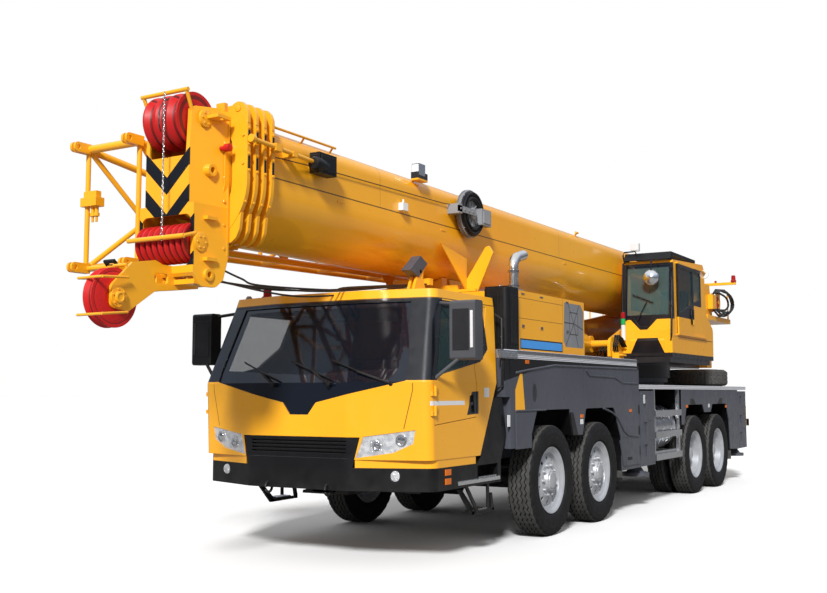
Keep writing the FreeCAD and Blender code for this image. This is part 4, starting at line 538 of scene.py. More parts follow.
class Form:
    """Vertices and faces of one piece, gathered from simple shapes placed by station."""

    def __init__(self):
        self.points, self.faces = [], []

    def add(self, points, faces):
        base = len(self.points)
        self.points += [Vector(p) for p in points]
        self.faces += [[base + i for i in face] for face in faces]
        return self

    def box(self, *spans):
        """Block between two x, two y and two z values."""
        x, y, z = (sorted(spans[i:i + 2]) for i in (0, 2, 4))
        return self.add([(a, b, c) for a in x for b in y for c in z], BOX_FACES)

    def plate(self, outline, axis, *levels):
        """Flat outline given along the two other axes, thickened along one."""
        place = {"x": lambda a, b, c: (c, a, b), "y": lambda a, b, c: (a, c, b)}[axis]
        count = len(outline)
        faces = [list(range(count))[::-1], list(range(count, 2 * count))]
        faces += [(i, (i + 1) % count, (i + 1) % count + count, i + count) for i in range(count)]
        return self.add([place(a, b, level) for level in sorted(levels) for a, b in outline], faces)

    def rod(self, path, radius, sides=12, closed=False):
        """Round bar through points."""
        path = [Vector(p) for p in path]
        count = len(path)
        up = Vector((0.13, 0.21, 1)).normalized()
        points = []
        for i, point in enumerate(path):
            back = path[i - 1] if i or closed else point
            ahead = path[(i + 1) % count] if i + 1 < count or closed else point
            along = (ahead - back).normalized()
            across = along.cross(up).normalized()
            lift = across.cross(along)
            points += [point + a * across + b * lift for a, b in around(sides, radius)]
        faces = bands(count, sides, closed)
        if not closed:
            faces += [tuple(range(sides))[::-1], tuple((count - 1) * sides + k for k in range(sides))]
        return self.add(points, faces)

    def turned(self, centre, along, profile, sides=32):
        """Turned shape about an axis through a point, from (distance along, radius) pairs."""
        along = Vector(along).normalized()
        across = along.orthogonal().normalized()
        lift = along.cross(across)
        points = [Vector(centre) + along * distance + a * across + b * lift
                  for distance, radius in profile for a, b in around(sides, radius)]
        return self.add(points, bands(len(profile), sides))

    def drum(self, centre, along, radius, length, sides):
        return self.turned(centre, along, [(0, 0.0), (0, radius), (length, radius), (length, 0.0)], sides)

    def bolt(self, centre, along, radius, height):
        return self.drum(centre, along, radius, height, 6)

    def mirrored(self):
        """The same shapes on the other side as well."""
        count = len(self.points)
        self.points += [Vector((p.x, -p.y, p.z)) for p in self.points]
        self.faces += [[i + count for i in reversed(face)] for face in self.faces]
        return self

    def mesh(self, name, finish, sharp=35):
        data = bpy.data.meshes.new(name)
        data.from_pydata([tuple(p) for p in self.points], [], [tuple(f) for f in self.faces])
        data.validate()
        data.shade_smooth()
        data.set_sharp_from_angle(angle=math.radians(sharp))
        data.materials.append(FINISHES[finish][0])
        return data

    def ride(self, name, finish, body="chassis", slot=None):
        """Puts the piece in the scene on a body."""
        self.points = [p + Vector((AXLE_1, 0, 0)) for p in self.points]
        obj = bpy.data.objects.new(name, self.mesh(name, finish))
        bpy.context.scene.collection.objects.link(obj)
        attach(obj, body)


def arc(centre, radius, first, last, steps, y):
    """Points of an arc in degrees, in an upright plane along the vehicle."""
    turns = (math.radians(first + (last - first) * i / steps) for i in range(steps + 1))
    return [(centre[0] + radius * math.cos(t), y, centre[1] + radius * math.sin(t)) for t in turns]


def tyre_form():
    """Tyre with zigzag grooves, shoulder blocks and fine rings on its walls, about its own middle."""
    wall = [(0.096, 0.345), (0.108, 0.356), (0.118, 0.374), (0.132, 0.392), (0.138, 0.394), (0.1415, 0.404),
            (0.150, 0.43), (0.1535, 0.46), (0.1545, 0.49), (0.1535, 0.515), (0.1545, 0.518), (0.1545, 0.526),
            (0.1500, 0.545), (0.1465, 0.562), (0.1455, 0.578), (0.139, 0.594)]
    form = Form()
    for i in range(TREAD_STEPS):
        wave = (0.0, 0.0105, 0.0, -0.0105)[i % 4]
        notch = 0.012 if i % 6 in (0, 1) else 0.0
        flank = [(y, r - (notch if r > 0.57 else 0.0)) for y, r in wall]
        flank += [(0.129, 0.604 - notch), (TREAD_Y, 0.6105)]
        crown = [(groove + offset + wave, 0.6125 - 0.002 * (groove / TREAD_Y) ** 2 - depth)
                 for groove in (-0.078, -0.027, 0.027, 0.078)
                 for offset, depth in ((-0.0075, 0.0), (-0.0055, 0.015), (0.0055, 0.015), (0.0075, 0.0))]
        ring = [(-y, r) for y, r in flank] + crown + flank[::-1]
        t = 2 * math.pi * i / TREAD_STEPS
        form.points += [Vector((r * math.sin(t), y, r * math.cos(t))) for y, r in ring]
    count = len(ring)
    for i in range(TREAD_STEPS):
        j = (i + 1) % TREAD_STEPS
        form.faces += [(i * count + k, j * count + k, j * count + k + 1, i * count + k + 1)
                       for k in range(count - 1)]
    return form


def holed_ring(form, inner, outer, hole_r, depth, steps=8):
    """Cone band between two (y, radius) edges with round holes, each with a short wall."""
    half = math.pi / HAND_HOLES
    middle_r = (inner[1] + outer[1]) / 2

    def surface(turn, r, back=0.0):
        share = (r - inner[1]) / (outer[1] - inner[1])
        return (r * math.sin(turn), inner[0] + (outer[0] - inner[0]) * share - back, r * math.cos(turn))
    for hole in range(HAND_HOLES):
        centre = 2 * half * hole
        edge = [(centre - half + 2 * half * i / steps, inner[1]) for i in range(steps)]
        edge += [(centre + half, inner[1]), (centre + half, middle_r)]
        edge += [(centre + half - 2 * half * i / steps, outer[1]) for i in range(steps)]
        edge += [(centre - half, outer[1]), (centre - half, middle_r)]
        ring = []
        for turn, r in edge:
            angle = math.atan2(r - middle_r, (turn - centre) * middle_r)
            ring.append((centre + hole_r * math.cos(angle) / middle_r, middle_r + hole_r * math.sin(angle)))
        count = len(edge)
        points = [surface(*p) for p in edge] + [surface(*p) for p in ring]
        form.add(points + [surface(*p, depth) for p in ring],
                 [(a + i, a + (i + 1) % count, a + count + (i + 1) % count, a + count + i)
                  for i in range(count) for a in (0, count)])


def rim_form(flange, barrel, disc, dish, hole_r, nuts_y, cap, inner_edge):
    """Rim with its disc, round hand holes, nuts and hub, facing +Y from the wheel's middle."""
    form = Form()
    form.turned((0, 0, 0), Y, flange + barrel, 80)
    holed_ring(form, *disc, hole_r, 0.012)
    form.turned((0, 0, 0), Y, dish, 80)
    form.turned((0, 0, 0), Y, [(-y, r) for y, r in flange] + inner_edge, 80)
    for z, x in around(WHEEL_NUTS, 0.168, start=math.pi / WHEEL_NUTS):
        form.turned((x, nuts_y, z), Y, [(0, 0.022), (0.004, 0.022), (0.004, 0.0)], 16)
        form.turned((x, nuts_y, z), Y, [(0.004, 0.0165), (0.026, 0.0155), (0.03, 0.009), (0.03, 0.0)], 6)
    for z, x in around(CAP_BOLTS, cap[1]):
        form.bolt((x, cap[0], z), Y, 0.007, 0.007)
    return form


def road_wheels():
    """Treaded tyres and silver rims in place of the CAD wheels, sharing three meshes."""
    flange = [(0.094, 0.34), (0.108, 0.352), (0.121, 0.366), (0.126, 0.371), (0.129, 0.368), (0.125, 0.358),
              (0.108, 0.338), (0.094, 0.325), (0.086, 0.307)]
    steered_rim = rim_form(
        flange, [(0.05, 0.300), (0.043, 0.292), (0.046, 0.283), (0.056, 0.275)],
        ((0.082, 0.208), (0.056, 0.275)),
        [(0.082, 0.208), (0.088, 0.2), (0.088, 0.135), (0.094, 0.13), (0.126, 0.118), (0.13, 0.112),
         (0.13, 0.098), (0.142, 0.092), (0.147, 0.08), (0.147, 0.0)],
        0.024, 0.088, (0.13, 0.105), [(-0.05, 0.296), (0.03, 0.292)])
    driven_rim = rim_form(
        flange, [(0.0, 0.299), (-0.075, 0.296), (-0.085, 0.29), (-0.083, 0.283), (-0.078, 0.275)],
        ((-0.074, 0.208), (-0.078, 0.275)),
        [(-0.074, 0.208), (-0.072, 0.2), (-0.072, 0.14), (-0.066, 0.132), (0.02, 0.122), (0.03, 0.115),
         (0.03, 0.1), (0.05, 0.094), (0.058, 0.082), (0.058, 0.0)],
        0.026, -0.072, (0.03, 0.107), [(-0.05, 0.296), (-0.09, 0.292)])
    tread = tyre_form().mesh("tyre", "tyre", 28)
    rims = {True: steered_rim.mesh("rim_steered", "rim"), False: driven_rim.mesh("rim_driven", "rim")}
    for axle in "1234":
        steered = axle in "12"
        for name, outward, turn in (("left", 1, 0.0), ("right", -1, math.pi)):
            body = f"wheel_{axle}_{name}"
            low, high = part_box(body)
            wheel_y = (high.y if outward > 0 else low.y) - outward * TYRE_HALF
            centre = Vector(((low.x + high.x) / 2, wheel_y, (low.z + high.z) / 2))
            rows = [("rim", rims[steered], centre, turn), ("tyre", tread, centre, turn)]
            if not steered:
                inner = centre - Vector((0, outward * 0.35, 0))
                rows += [("inner_rim", rims[False], inner, math.pi - turn),
                         ("inner_tyre", tread, inner, turn)]
            for label, mesh, place, spin in rows:
                obj = bpy.data.objects.new(f"{label}_{axle}_{name}", mesh)
                bpy.context.scene.collection.objects.link(obj)
                obj.location = place
                obj.rotation_euler = (0, 0, spin)
                if label == "tyre":
                    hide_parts(body)
                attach(obj, body)


def cab_details():
    """Wipers, roof fittings, mirror faces, grab bars and small inner fittings of the driver's cab."""
    def on_screen(across, z):
        return (2.925 - 0.397 * (z - 1.69) - 0.30 * max(abs(across) - 0.56, 0.0), across, z)
    wipers = Form()
    for y, tip in ((-0.30, -0.48), (0.36, 0.155), (0.98, 0.64)):
        wipers.rod([on_screen(y, 1.675), on_screen((y + tip) / 2, 1.73), on_screen(tip, 1.79)], 0.011, 8)
        wipers.rod([on_screen(tip - 0.30, 1.90), on_screen(tip, 1.795), on_screen(tip + 0.22, 1.72)], 0.009, 8)
        wipers.turned((on_screen(y, 1.67)[0] - 0.03, y, 1.67), (1, 0, 0.1),
                      [(0, 0.024), (0.04, 0.022), (0.045, 0.0)], 12)
    wipers.ride("wipers", "black_plastic")
    beacon = [(0, 0.06), (0.03, 0.06), (0.035, 0.045), (0.11, 0.042), (0.12, 0.0)]
    Form().turned((2.28, -0.9, 2.58), Z, beacon, 20).ride("roof_beacon", "red", slot="red_paint")
    Form().box(2.20, 2.55, 0.415, 0.423, 2.579, 2.582).ride("roof_seam", "trim")
    marker = [(0, 0.035), (0.03, 0.035), (0.05, 0.02), (0.052, 0.0)]
    Form().turned((2.3, -1.135, 2.575), Z, marker, 16).ride("roof_marker_lamp", "grey")
    stay = Form()
    for y in (0.47, 0.53):
        stay.plate([(1.40, 2.578), (1.72, 2.578), (1.66, 2.72), (1.56, 2.93), (1.46, 2.96), (1.5, 2.80)],
                   "y", y, y + 0.03)
    stay.box(1.42, 1.70, 0.44, 0.59, 2.578, 2.594).rod([(1.56, 0.46, 2.86), (1.56, 0.57, 2.86)], 0.022)
    stay.ride("roof_stay", "yellow_paint")
    pad = Form().plate([(1.60, 2.80), (1.78, 2.86), (1.56, 3.03), (1.42, 2.96)], "y", 0.46, 0.57)
    pad.ride("roof_stay_pad", "chassis_paint")
    rear, front = MIRROR_X
    for name, sign, shell, stripe in (("left", 1, "trim", "white"), ("right", -1, "black_plastic", "trim")):
        low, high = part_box(f"mirror_{name}")
        body = f"door_{name}"
        y = high.y - 0.1325 if sign > 0 else low.y + 0.1325
        face = Form()
        for z0, z1 in ((2.06, 2.405), (1.925, 2.03)):
            face.box(rear - 0.004, rear + 0.001, y - 0.112, y + 0.112, z0, z1)
        face.ride(f"mirror_glass_{name}", "mirror", body)
        panel = Form().box(front - 0.002, front + 0.006, y - sign * 0.10, y + sign * 0.07, 1.98, 2.36)
        panel.ride(f"mirror_shell_{name}", shell, body)
        strip = Form().box(front - 0.002, front + 0.008, y + sign * 0.085, y + sign * 0.112, 2.0, 2.34)
        strip.ride(f"mirror_lamp_{name}", stripe, body)
    bars = Form().rod([(1.30, 1.30, 1.62), (1.27, 1.365, 1.66), (1.27, 1.365, 2.35), (1.26, 1.28, 2.40)], 0.014)
    bars.mirrored().ride("cab_grab_bars", "black_plastic")
    inside = Form().box(2.30, 2.34, -0.30, 0.30, 2.33, 2.45).box(2.16, 2.26, -1.0, -0.2, 2.40, 2.44)
    inside.box(2.47, 2.53, 0.35, 0.85, 1.58, 1.70).rod([(2.46, 0.1, 1.58), (2.38, 0.1, 1.78)], 0.012)
    inside.ride("cab_small_fittings", "dark_trim")


def front_lamps():
    """Lamps, side markers, blank plates, steps and their treads, tow fittings and under gear."""
    fog = Form()
    for sign in SIDES:
        fog.turned((2.766, sign * 1.0, 0.83), X, [(-0.012, 0.049), (0.004, 0.047), (0.012, 0.03), (0.014, 0.0)],
                   24)
    fog.ride("fog_lamp_glass", "lens")
    amber = Form()
    for z in (0.854, 0.77):
        amber.box(2.34, 2.44, 1.338, 1.352, z - 0.028, z + 0.028)
    for x, z in ((-0.87, 1.311), (-2.62, 1.35), (-5.26, 1.377), (-7.63, 1.35)):
        amber.box(x - 0.04, x + 0.04, SKIN_Y, SKIN_Y + 0.01, z - 0.02, z + 0.02)
    amber.box(0.64, 0.72, SKIN_Y, SKIN_Y + 0.012, 1.90, 1.94)
    amber.mirrored().ride("side_marker_lamps", "amber")
    cores, bowls = Form(), Form()
    for sign in SIDES:
        for x, y, z, r in ((2.848, 0.85, 1.105, 0.042), (2.782, 1.075, 1.155, 0.054)):
            at, out = (x, sign * y, z), (0.96, sign * 0.28, 0.0)
            bowls.turned(at, out, [(-0.006, r), (0.003, r), (0.004, r - 0.006), (0.0, r - 0.016)], 28)
            cores.turned(at, out, [(-0.004, 0.0), (-0.004, r - 0.014), (0.001, r - 0.018), (0.006, 0.0)], 24)
    bowls.ride("headlamp_rings", "bright")
    cores.ride("headlamp_cores", "mirror")
    legs = Form()
    for sign in SIDES:
        for outline in ([(2.03, 0.66), (1.97, 0.66), (1.70, 0.43), (1.72, 0.395), (1.76, 0.395)],
                        [(1.36, 0.58), (1.32, 0.58), (1.28, 0.44), (1.28, 0.40), (1.32, 0.40)],
                        [(1.76, 0.395), (1.76, 0.43), (1.28, 0.43), (1.28, 0.40)]):
            legs.plate(outline, "y", sign * 1.236, sign * 1.262)
    legs.ride("step_legs", "black_plastic")
    hook = Form().box(2.60, 2.86, 0.14, 0.36, 0.66, 0.72)
    hook.plate([(0.02, 0.645), (0.36, 0.645), (0.36, 0.672), (0.16, 0.70), (0.02, 0.672)], "x", 2.80, 2.86)
    hook.ride("tow_hook", "black_plastic")
    plates = Form()
    for x, z in ((-0.87, 1.245), (-6.54, 1.375)):
        plates.box(x - 0.045, x + 0.045, SKIN_Y, SKIN_Y + 0.005, z - 0.03, z + 0.03)
    for x, z in ((-3.20, 1.50), (1.15, 1.30)):
        plates.box(x - 0.03, x + 0.03, 1.375, 1.381, z - 0.06, z + 0.06)
    plates.mirrored().ride("blank_plates", "white")
    tread = Form()
    for first, step, count, wide, span in ((1.475, 0.0165, 16, 0.007, (1.185, 1.30, 0.4398, 0.452)),
                                           (1.36, 0.018, 22, 0.008, (1.195, 1.333, 0.756, 0.768))):
        for x in (first + i * step for i in range(count)):
            tread.box(x, x + wide, *span)
    for x in (1.30 + i * 0.0262 for i in range(34)):
        tread.plate([(x, 0.715), (x + 0.0262, 0.7158), (x + 0.0262, 0.742), (x + 0.0131, 0.757), (x, 0.742)],
                    "y", 1.336, 1.346)
    tread.mirrored().ride("step_treads", "bright")
    Form().box(2.906, 2.925, -0.26, 0.26, 0.765, 0.88).ride("front_plate_blank", "black_plastic")
    eyes = Form()
    for sign in SIDES:
        eyes.rod(arc((2.91, 0.69), 0.05, 0, 330, 14, sign * 0.35), 0.013, 10)
    eyes.ride("tow_eyes", "axle_paint")
    under = Form().box(2.0, 2.45, -0.25, 0.25, 0.60, 0.68).rod([(1.9, -0.75, 0.62), (1.9, 0.75, 0.62)], 0.035)
    under.drum((1.55, -0.2, 0.66), X, 0.12, 0.28, 24).ride("front_under_gear", "axle_paint")


def collar_details():
    """Bolts, pad slots, lobes and claws on the boom's collars."""
    lobe = [(0.30, 3.92), (0.335, 3.985), (0.375, 4.022), (0.42, 4.036), (0.465, 4.026), (0.505, 3.99),
            (0.53, 3.93), (0.532, 3.84), (0.42, 3.90)]
    claw = [(0.22, 2.92), (0.25, 2.865), (0.30, 2.838), (0.365, 2.84), (0.42, 2.88), (0.455, 2.95),
            (0.47, 3.09), (0.36, 2.99)]
    for body, x in COLLARS:
        form, slots = Form(), Form()
        for sign in SIDES:
            out = (0, sign, 0)
            for z in (3.44, 3.58, 3.66, 3.80):
                form.bolt((x, sign * COLLAR_HALF, z), out, 0.014, 0.012)
            for z0, z1 in ((3.45, 3.56), (3.69, 3.78)):
                slots.box(x - 0.011, x + 0.011, sign * (COLLAR_HALF - 0.002), sign * (COLLAR_HALF + 0.004),
                          z0, z1)
            for t in (math.radians(-degrees) for degrees in (20, 40, 60, 75)):
                y, z = sign * math.cos(t), math.sin(t)
                form.bolt((x, COLLAR_HALF * y, BOOM_SEAM_Z + COLLAR_HALF * z), (0, y, z), 0.013, 0.012)
            for y in (0.1, 0.32):
                form.bolt((x, sign * y, BOOM_SEAM_Z + COLLAR_TOP), Z, 0.013, 0.01)
            for z in (3.50, 3.74):
                form.bolt((x + 0.021, sign * 0.49, z), X, 0.014, 0.01)
            for outline in (lobe, claw):
                form.plate([(sign * y, z) for y, z in outline], "x", x - 0.018, x + 0.018)
            form.turned((x, sign * 0.425, 3.975), X, [(0.0, 0.03), (0.026, 0.03), (0.03, 0.0)], 16)
        form.ride(f"collar_bolts_{body}", "yellow_paint", body)
        slots.ride(f"collar_slots_{body}", "black_plastic", body)


def boom_details():
    """Hose reel, cases, lamp, guide rod, sensor and hoist ropes with their guides on the base section."""
    hoses = Form()
    for y, r in ((0.578, 0.25), (0.586, 0.222), (0.58, 0.194), (0.586, 0.166), (0.60, 0.236), (0.602, 0.18)):
        hoses.rod(arc(REEL, r, 0, 352, 40, y), 0.014, 8)
    hoses.rod([(0.62, 0.53, 3.72), (0.9, 0.487, 3.70), (3.2, 0.487, 3.66), (3.95, 0.52, 3.62)], 0.005, 6)
    hoses.ride("boom_hoses", "hose", "boom_base")
    reel = Form()
    for y, bulge in ((0.513, -0.003), (0.572, 0.003)):
        for (x0, z0), (x1, z1) in zip(around(8, 0.05, *REEL), around(8, 0.27, *REEL)):
            reel.rod([(x0, y, z0), (x1, y + bulge, z1)], 0.008, 6)
    reel.turned((REEL[0], 0.50, REEL[1]), Y, [(0, 0.07), (0.10, 0.07), (0.11, 0.05), (0.115, 0.0)], 20)
    reel.box(0.38, 0.80, 0.604, 0.622, 3.62, 3.69).box(0.72, 0.80, 0.465, 0.622, 3.60, 3.71)
    for x in (0.46, 0.56, 0.66, 0.76):
        reel.bolt((x, 0.622, 3.655), Y, 0.012, 0.008)
    reel.box(0.04, 0.28, 0.565, 0.642, 3.535, 3.725).box(0.08, 0.24, 0.64, 0.652, 3.56, 3.70)
    reel.ride("reel_and_case", "grey", "boom_base", "silver_metal")
    lamp = Form().box(1.42, 1.55, 0.455, 0.545, 3.905, 4.03).rod([(1.46, 0.47, 3.86), (1.46, 0.47, 3.93)], 0.012)
    lamp.ride("boom_work_lamp", "bright", "boom_base")
    pane = Form().box(1.548, 1.556, 0.462, 0.538, 3.915, 4.02)
    pane.ride("boom_work_lamp_glass", "white", "boom_base", "glass")
    case = Form().turned((3.30, 0.56, 3.65), (1, 0.15, 0), [(-0.04, 0.0), (-0.04, 0.055), (0.0, 0.068),
                                                            (0.17, 0.068), (0.2, 0.05), (0.2, 0.0)], 24)
    case.box(3.17, 3.44, 0.505, 0.615, 3.575, 3.765).box(3.20, 3.41, 0.615, 0.625, 3.60, 3.74)
    case.box(3.44, 3.452, 0.52, 0.60, 3.60, 3.74).ride("boom_camera_case", "black_plastic", "boom_base")
    guide = Form().rod([(3.42, 0.575, 3.665), (4.33, 0.575, 3.70)], 0.02)
    guide.rod([(3.42, 0.575, 3.665), (3.36, 0.55, 3.66)], 0.03)
    guide.box(3.955, 4.045, 0.534, 0.60, 3.655, 3.72).box(3.74, 3.80, 0.47, 0.60, 3.65, 3.70)
    guide.turned((4.33, 0.575, 3.70), (1, 0, 0.04), [(-0.02, 0.0), (-0.02, 0.035), (0.02, 0.035), (0.02, 0.0)],
                 16)
    guide.ride("head_guide_rod", "yellow_paint", "boom_base")
    sensor = Form().box(1.75, 1.85, 0.472, 0.53, 3.48, 3.56).rod([(1.8, 0.5, 3.56), (1.8, 0.5, 3.60)], 0.01)
    sensor.ride("boom_sensor", "white", "boom_base")
    rope = Form()
    for y in (-0.09, 0.09):
        rope.rod([(-7.85, y, 3.915), (-3.8, y, 3.914), (0.2, y, 3.914), (3.97, y, 3.914)], 0.011, 8)
    rope.ride("hoist_rope_on_boom", "rope", "boom_base")
    guides = Form()
    for x in (-7.4, -4.2, -1.0, 2.2):
        guides.box(x - 0.03, x + 0.03, -0.16, 0.16, 3.895, 3.906)
        for y in (-0.15, 0.15):
            guides.box(x - 0.02, x + 0.02, y - 0.01, y + 0.01, 3.895, 3.95)
        guides.rod([(x, -0.15, 3.944), (x, 0.15, 3.944)], 0.012)
    for x in (-7.0, -5.6, -2.6, 0.9, 2.9):
        guides.box(x - 0.05, x + 0.05, 0.464, 0.476, 3.39, 3.41)
    guides.ride("rope_guides", "yellow_paint", "boom_base")


def head_details():
    """Chain, ropes, bolts and sheave caps of the boom's head and the fittings of the jib."""
    chain = Form()
    for i in range(57):
        z = 4.03 - i * 0.0215
        loop = [(4.845, 0.075 + a, z + b) if i % 2 else (4.845 + a, 0.075, z + b)
                for a, b in around(10, 0.0065, tall=0.0145)]
        chain.rod(loop, 0.0032, 6, closed=True)
    chain.ride("hanging_chain", "steel", "boom_head")
    rope = Form()
    for y in (-0.09, 0.09):
        rope.rod([(4.36, y, 4.070), (4.50, y, 4.068), (4.60, y, 4.066)], 0.011, 8)
    for y in (-0.03, 0.03):
        rope.rod(arc(UPPER_SHEAVE, 0.212, 95, -30, 18, y), 0.010, 8)
    rope.ride("hoist_rope_at_head", "rope", "boom_head")
    small = Form()
    for sign in SIDES:
        out = (0, sign, 0)
        for z in (2.78, 2.98, 3.18, 3.38, 3.58):
            small.bolt((4.40, sign * 0.337, z), out, 0.014, 0.012)
        for (x, z), r, y in ((UPPER_SHEAVE, 0.075, 0.292), (LOWER_SHEAVE, 0.08, 0.312)):
            small.turned((x, sign * (y - 0.01), z), out, [(0, r), (0.018, r), (0.022, r - 0.012), (0.022, 0.0)],
                         24)
            for a, b in around(6, 0.05, x, z):
                small.bolt((a, sign * (y + 0.01), b), out, 0.009, 0.008)
        for z in (3.0, 2.66):
            small.box(4.5, 4.62, sign * 0.30, sign * 0.36, z, z + 0.03)
    small.ride("head_fittings", "yellow_paint", "boom_head")
    pin = Form().turned((4.44, 0.33, 3.62), Y, [(0, 0.02), (0.05, 0.02), (0.052, 0.034), (0.10, 0.034),
                                                (0.105, 0.0)], 16)
    pin.ride("head_lock_pin", "red_paint", "boom_head")
    x, z = ARM_SHEAVE
    cap, web = Form(), Form()
    for sign in SIDES:
        out = (0, sign, 0)
        cap.turned((x, sign * 0.06, z), out, [(0, 0.046), (0.052, 0.046), (0.056, 0.03), (0.046, 0.026),
                                              (0.046, 0.0)], 20)
        for a, b in around(6, 0.062, x, z, 0.3):
            cap.bolt((a, sign * 0.096, b), out, 0.009, 0.009)
        web.turned((x, sign * 0.0445, z), out, [(0, 0.2), (0.004, 0.19), (0.002, 0.14), (0.006, 0.12),
                                                (0.004, 0.09)], 40)
        for a, b in around(8, 0.15, x, z):
            web.turned((a, sign * 0.0455, b), out, [(0, 0.03), (0.002, 0.022), (0.0, 0.02)], 14)
    cap.ride("arm_sheave_cap", "yellow_paint", "boom_head")
    web.ride("arm_sheave_web", "red_paint", "boom_head")
    jib = Form().box(4.40, 4.50, -1.28, -1.08, 3.27, 3.35).box(4.42, 4.48, -1.26, -1.10, 3.35, 3.41)
    for y in (-1.12, -1.17):
        jib.turned((4.45, y, 3.27), (0, 0, -1), [(0, 0.018), (0.06, 0.018), (0.06, 0.026), (0.09, 0.026),
                                                 (0.09, 0.012), (0.14, 0.012), (0.14, 0.0)], 12)
    jib.ride("jib_fittings", "yellow_paint", "boom_base")
    clamp = Form().rod([(4.45, -0.84, 2.715), (4.49, -0.84, 2.75), (4.49, -0.95, 2.75), (4.45, -0.95, 2.715)],
                       0.02)
    clamp.ride("jib_clamp", "black_plastic", "boom_base")


def operator_details():
    """Stack light, bars, mirror, lamps, door handle and beacon of the operator's cab and rear bar."""
    nose = placed("operator_cab")[1].x
    x, y = nose + 0.06, STACK_Y
    stack = Form().rod([(nose + 0.02, y, 2.30), (x, y, 2.32), (x, y, 2.52)], 0.012)
    stack.turned((x, y, 2.48), Z, [(0, 0.035), (0.04, 0.035), (0.04, 0.0)], 20)
    stack.drum((x, y, 2.40), Z, 0.034, 0.24, 20).ride("stack_light_white", "white", "turntable")
    ring = [(0, 0.0), (0, 0.036), (0.09, 0.036), (0.095, 0.02), (0.095, 0.0)]
    for label, z in (("green", 2.645), ("red", 2.745)):
        Form().turned((x, y, z), Z, ring, 20).ride(f"stack_light_{label}", label, "turntable")
    dark = Form()
    for radius, sides, path in (
            (0.016, 12, [(-0.03, 0.62, 2.72), (0.05, 0.585, 2.78), (-0.04, 0.585, 3.60), (-0.10, 0.62, 3.68)]),
            (0.015, 12, [(0.0, 1.33, 2.40), (0.035, 1.35, 2.46), (-0.06, 1.35, 3.30), (-0.09, 1.32, 3.36)]),
            (0.009, 8, [(-0.045, 0.95, 3.0), (-0.025, 0.85, 2.80), (-0.01, 0.80, 2.70)]),
            (0.009, 8, [(-0.06, 0.72, 3.12), (-0.05, 1.05, 2.98)]),
            (0.012, 12, [(-0.12, 1.06, 3.68), (0.04, 1.06, 3.62), (0.05, 1.06, 3.43)])):
        dark.rod([(nose + a, b, c) for a, b, c in path], radius, sides)
    for z in (2.9, 3.5):
        dark.box(nose - 0.12, nose, 1.335, 1.36, z, z + 0.02)
    dark.ride("operator_black_bars", "black_plastic", "turntable")
    mirror = Form().turned((nose + 0.05, 1.06, 3.36), (0.94, 0.3, 0.1),
                           [(-0.03, 0.0), (-0.03, 0.11), (0.0, 0.125), (0.03, 0.11), (0.055, 0.075), (0.066, 0.0)])
    mirror.ride("operator_round_mirror", "bright", "turntable")
    post = Form().rod([(-4.78, 0.585, 3.62), (-4.72, 0.58, 3.74), (-4.72, 0.60, 3.79), (-4.72, 0.78, 3.795),
                       (-4.74, 0.80, 3.72)], 0.012)
    post.ride("operator_lamp_post", "black_plastic", "turntable")
    work = Form().box(-4.76, -4.69, 0.715, 0.845, 3.80, 3.92).box(-4.689, -4.683, 0.728, 0.832, 3.812, 3.908)
    work.ride("operator_work_lamp", "white", "turntable")
    rear = Form().turned((-6.62, 1.33, 3.58), (1, 0.3, 0), [(0, 0.0), (0, 0.05), (0.06, 0.075), (0.075, 0.07),
                                                            (0.075, 0.0)], 24)
    rear.rod([(-6.60, 1.30, 3.45), (-6.60, 1.33, 3.55)], 0.012)
    rear.ride("operator_rear_lamp", "white", "turntable", "steel")
    loop = [(a, 1.385, b) for a, b in around(20, 0.035, -5.64, 2.80, tall=0.12)]
    handle = Form().rod(loop, 0.012, 8, closed=True).box(-5.66, -5.62, 1.375, 1.384, 2.70, 2.90)
    handle.ride("operator_door_handle", "black_plastic", "operator_door")
    beacon = Form().turned((-8.64, 1.33, 3.64), Z, [(0, 0.05), (0.03, 0.05), (0.04, 0.04), (0.12, 0.036),
                                                    (0.13, 0.0)], 20)
    beacon.turned((-8.64, 1.00, 3.64), Z, [(0, 0.02), (0.04, 0.02), (0.04, 0.0)], 12)
    beacon.ride("bar_beacon", "red", "turntable", "red_paint")
    Form().box(-8.66, -8.56, 0.62, 0.78, 3.645, 3.76).ride("bar_lamp", "grey", "turntable")
    Form().box(-7.0, -5.0, 1.345, 1.349, 2.452, 2.458).ride("operator_sill_seam", "black_plastic", "turntable")


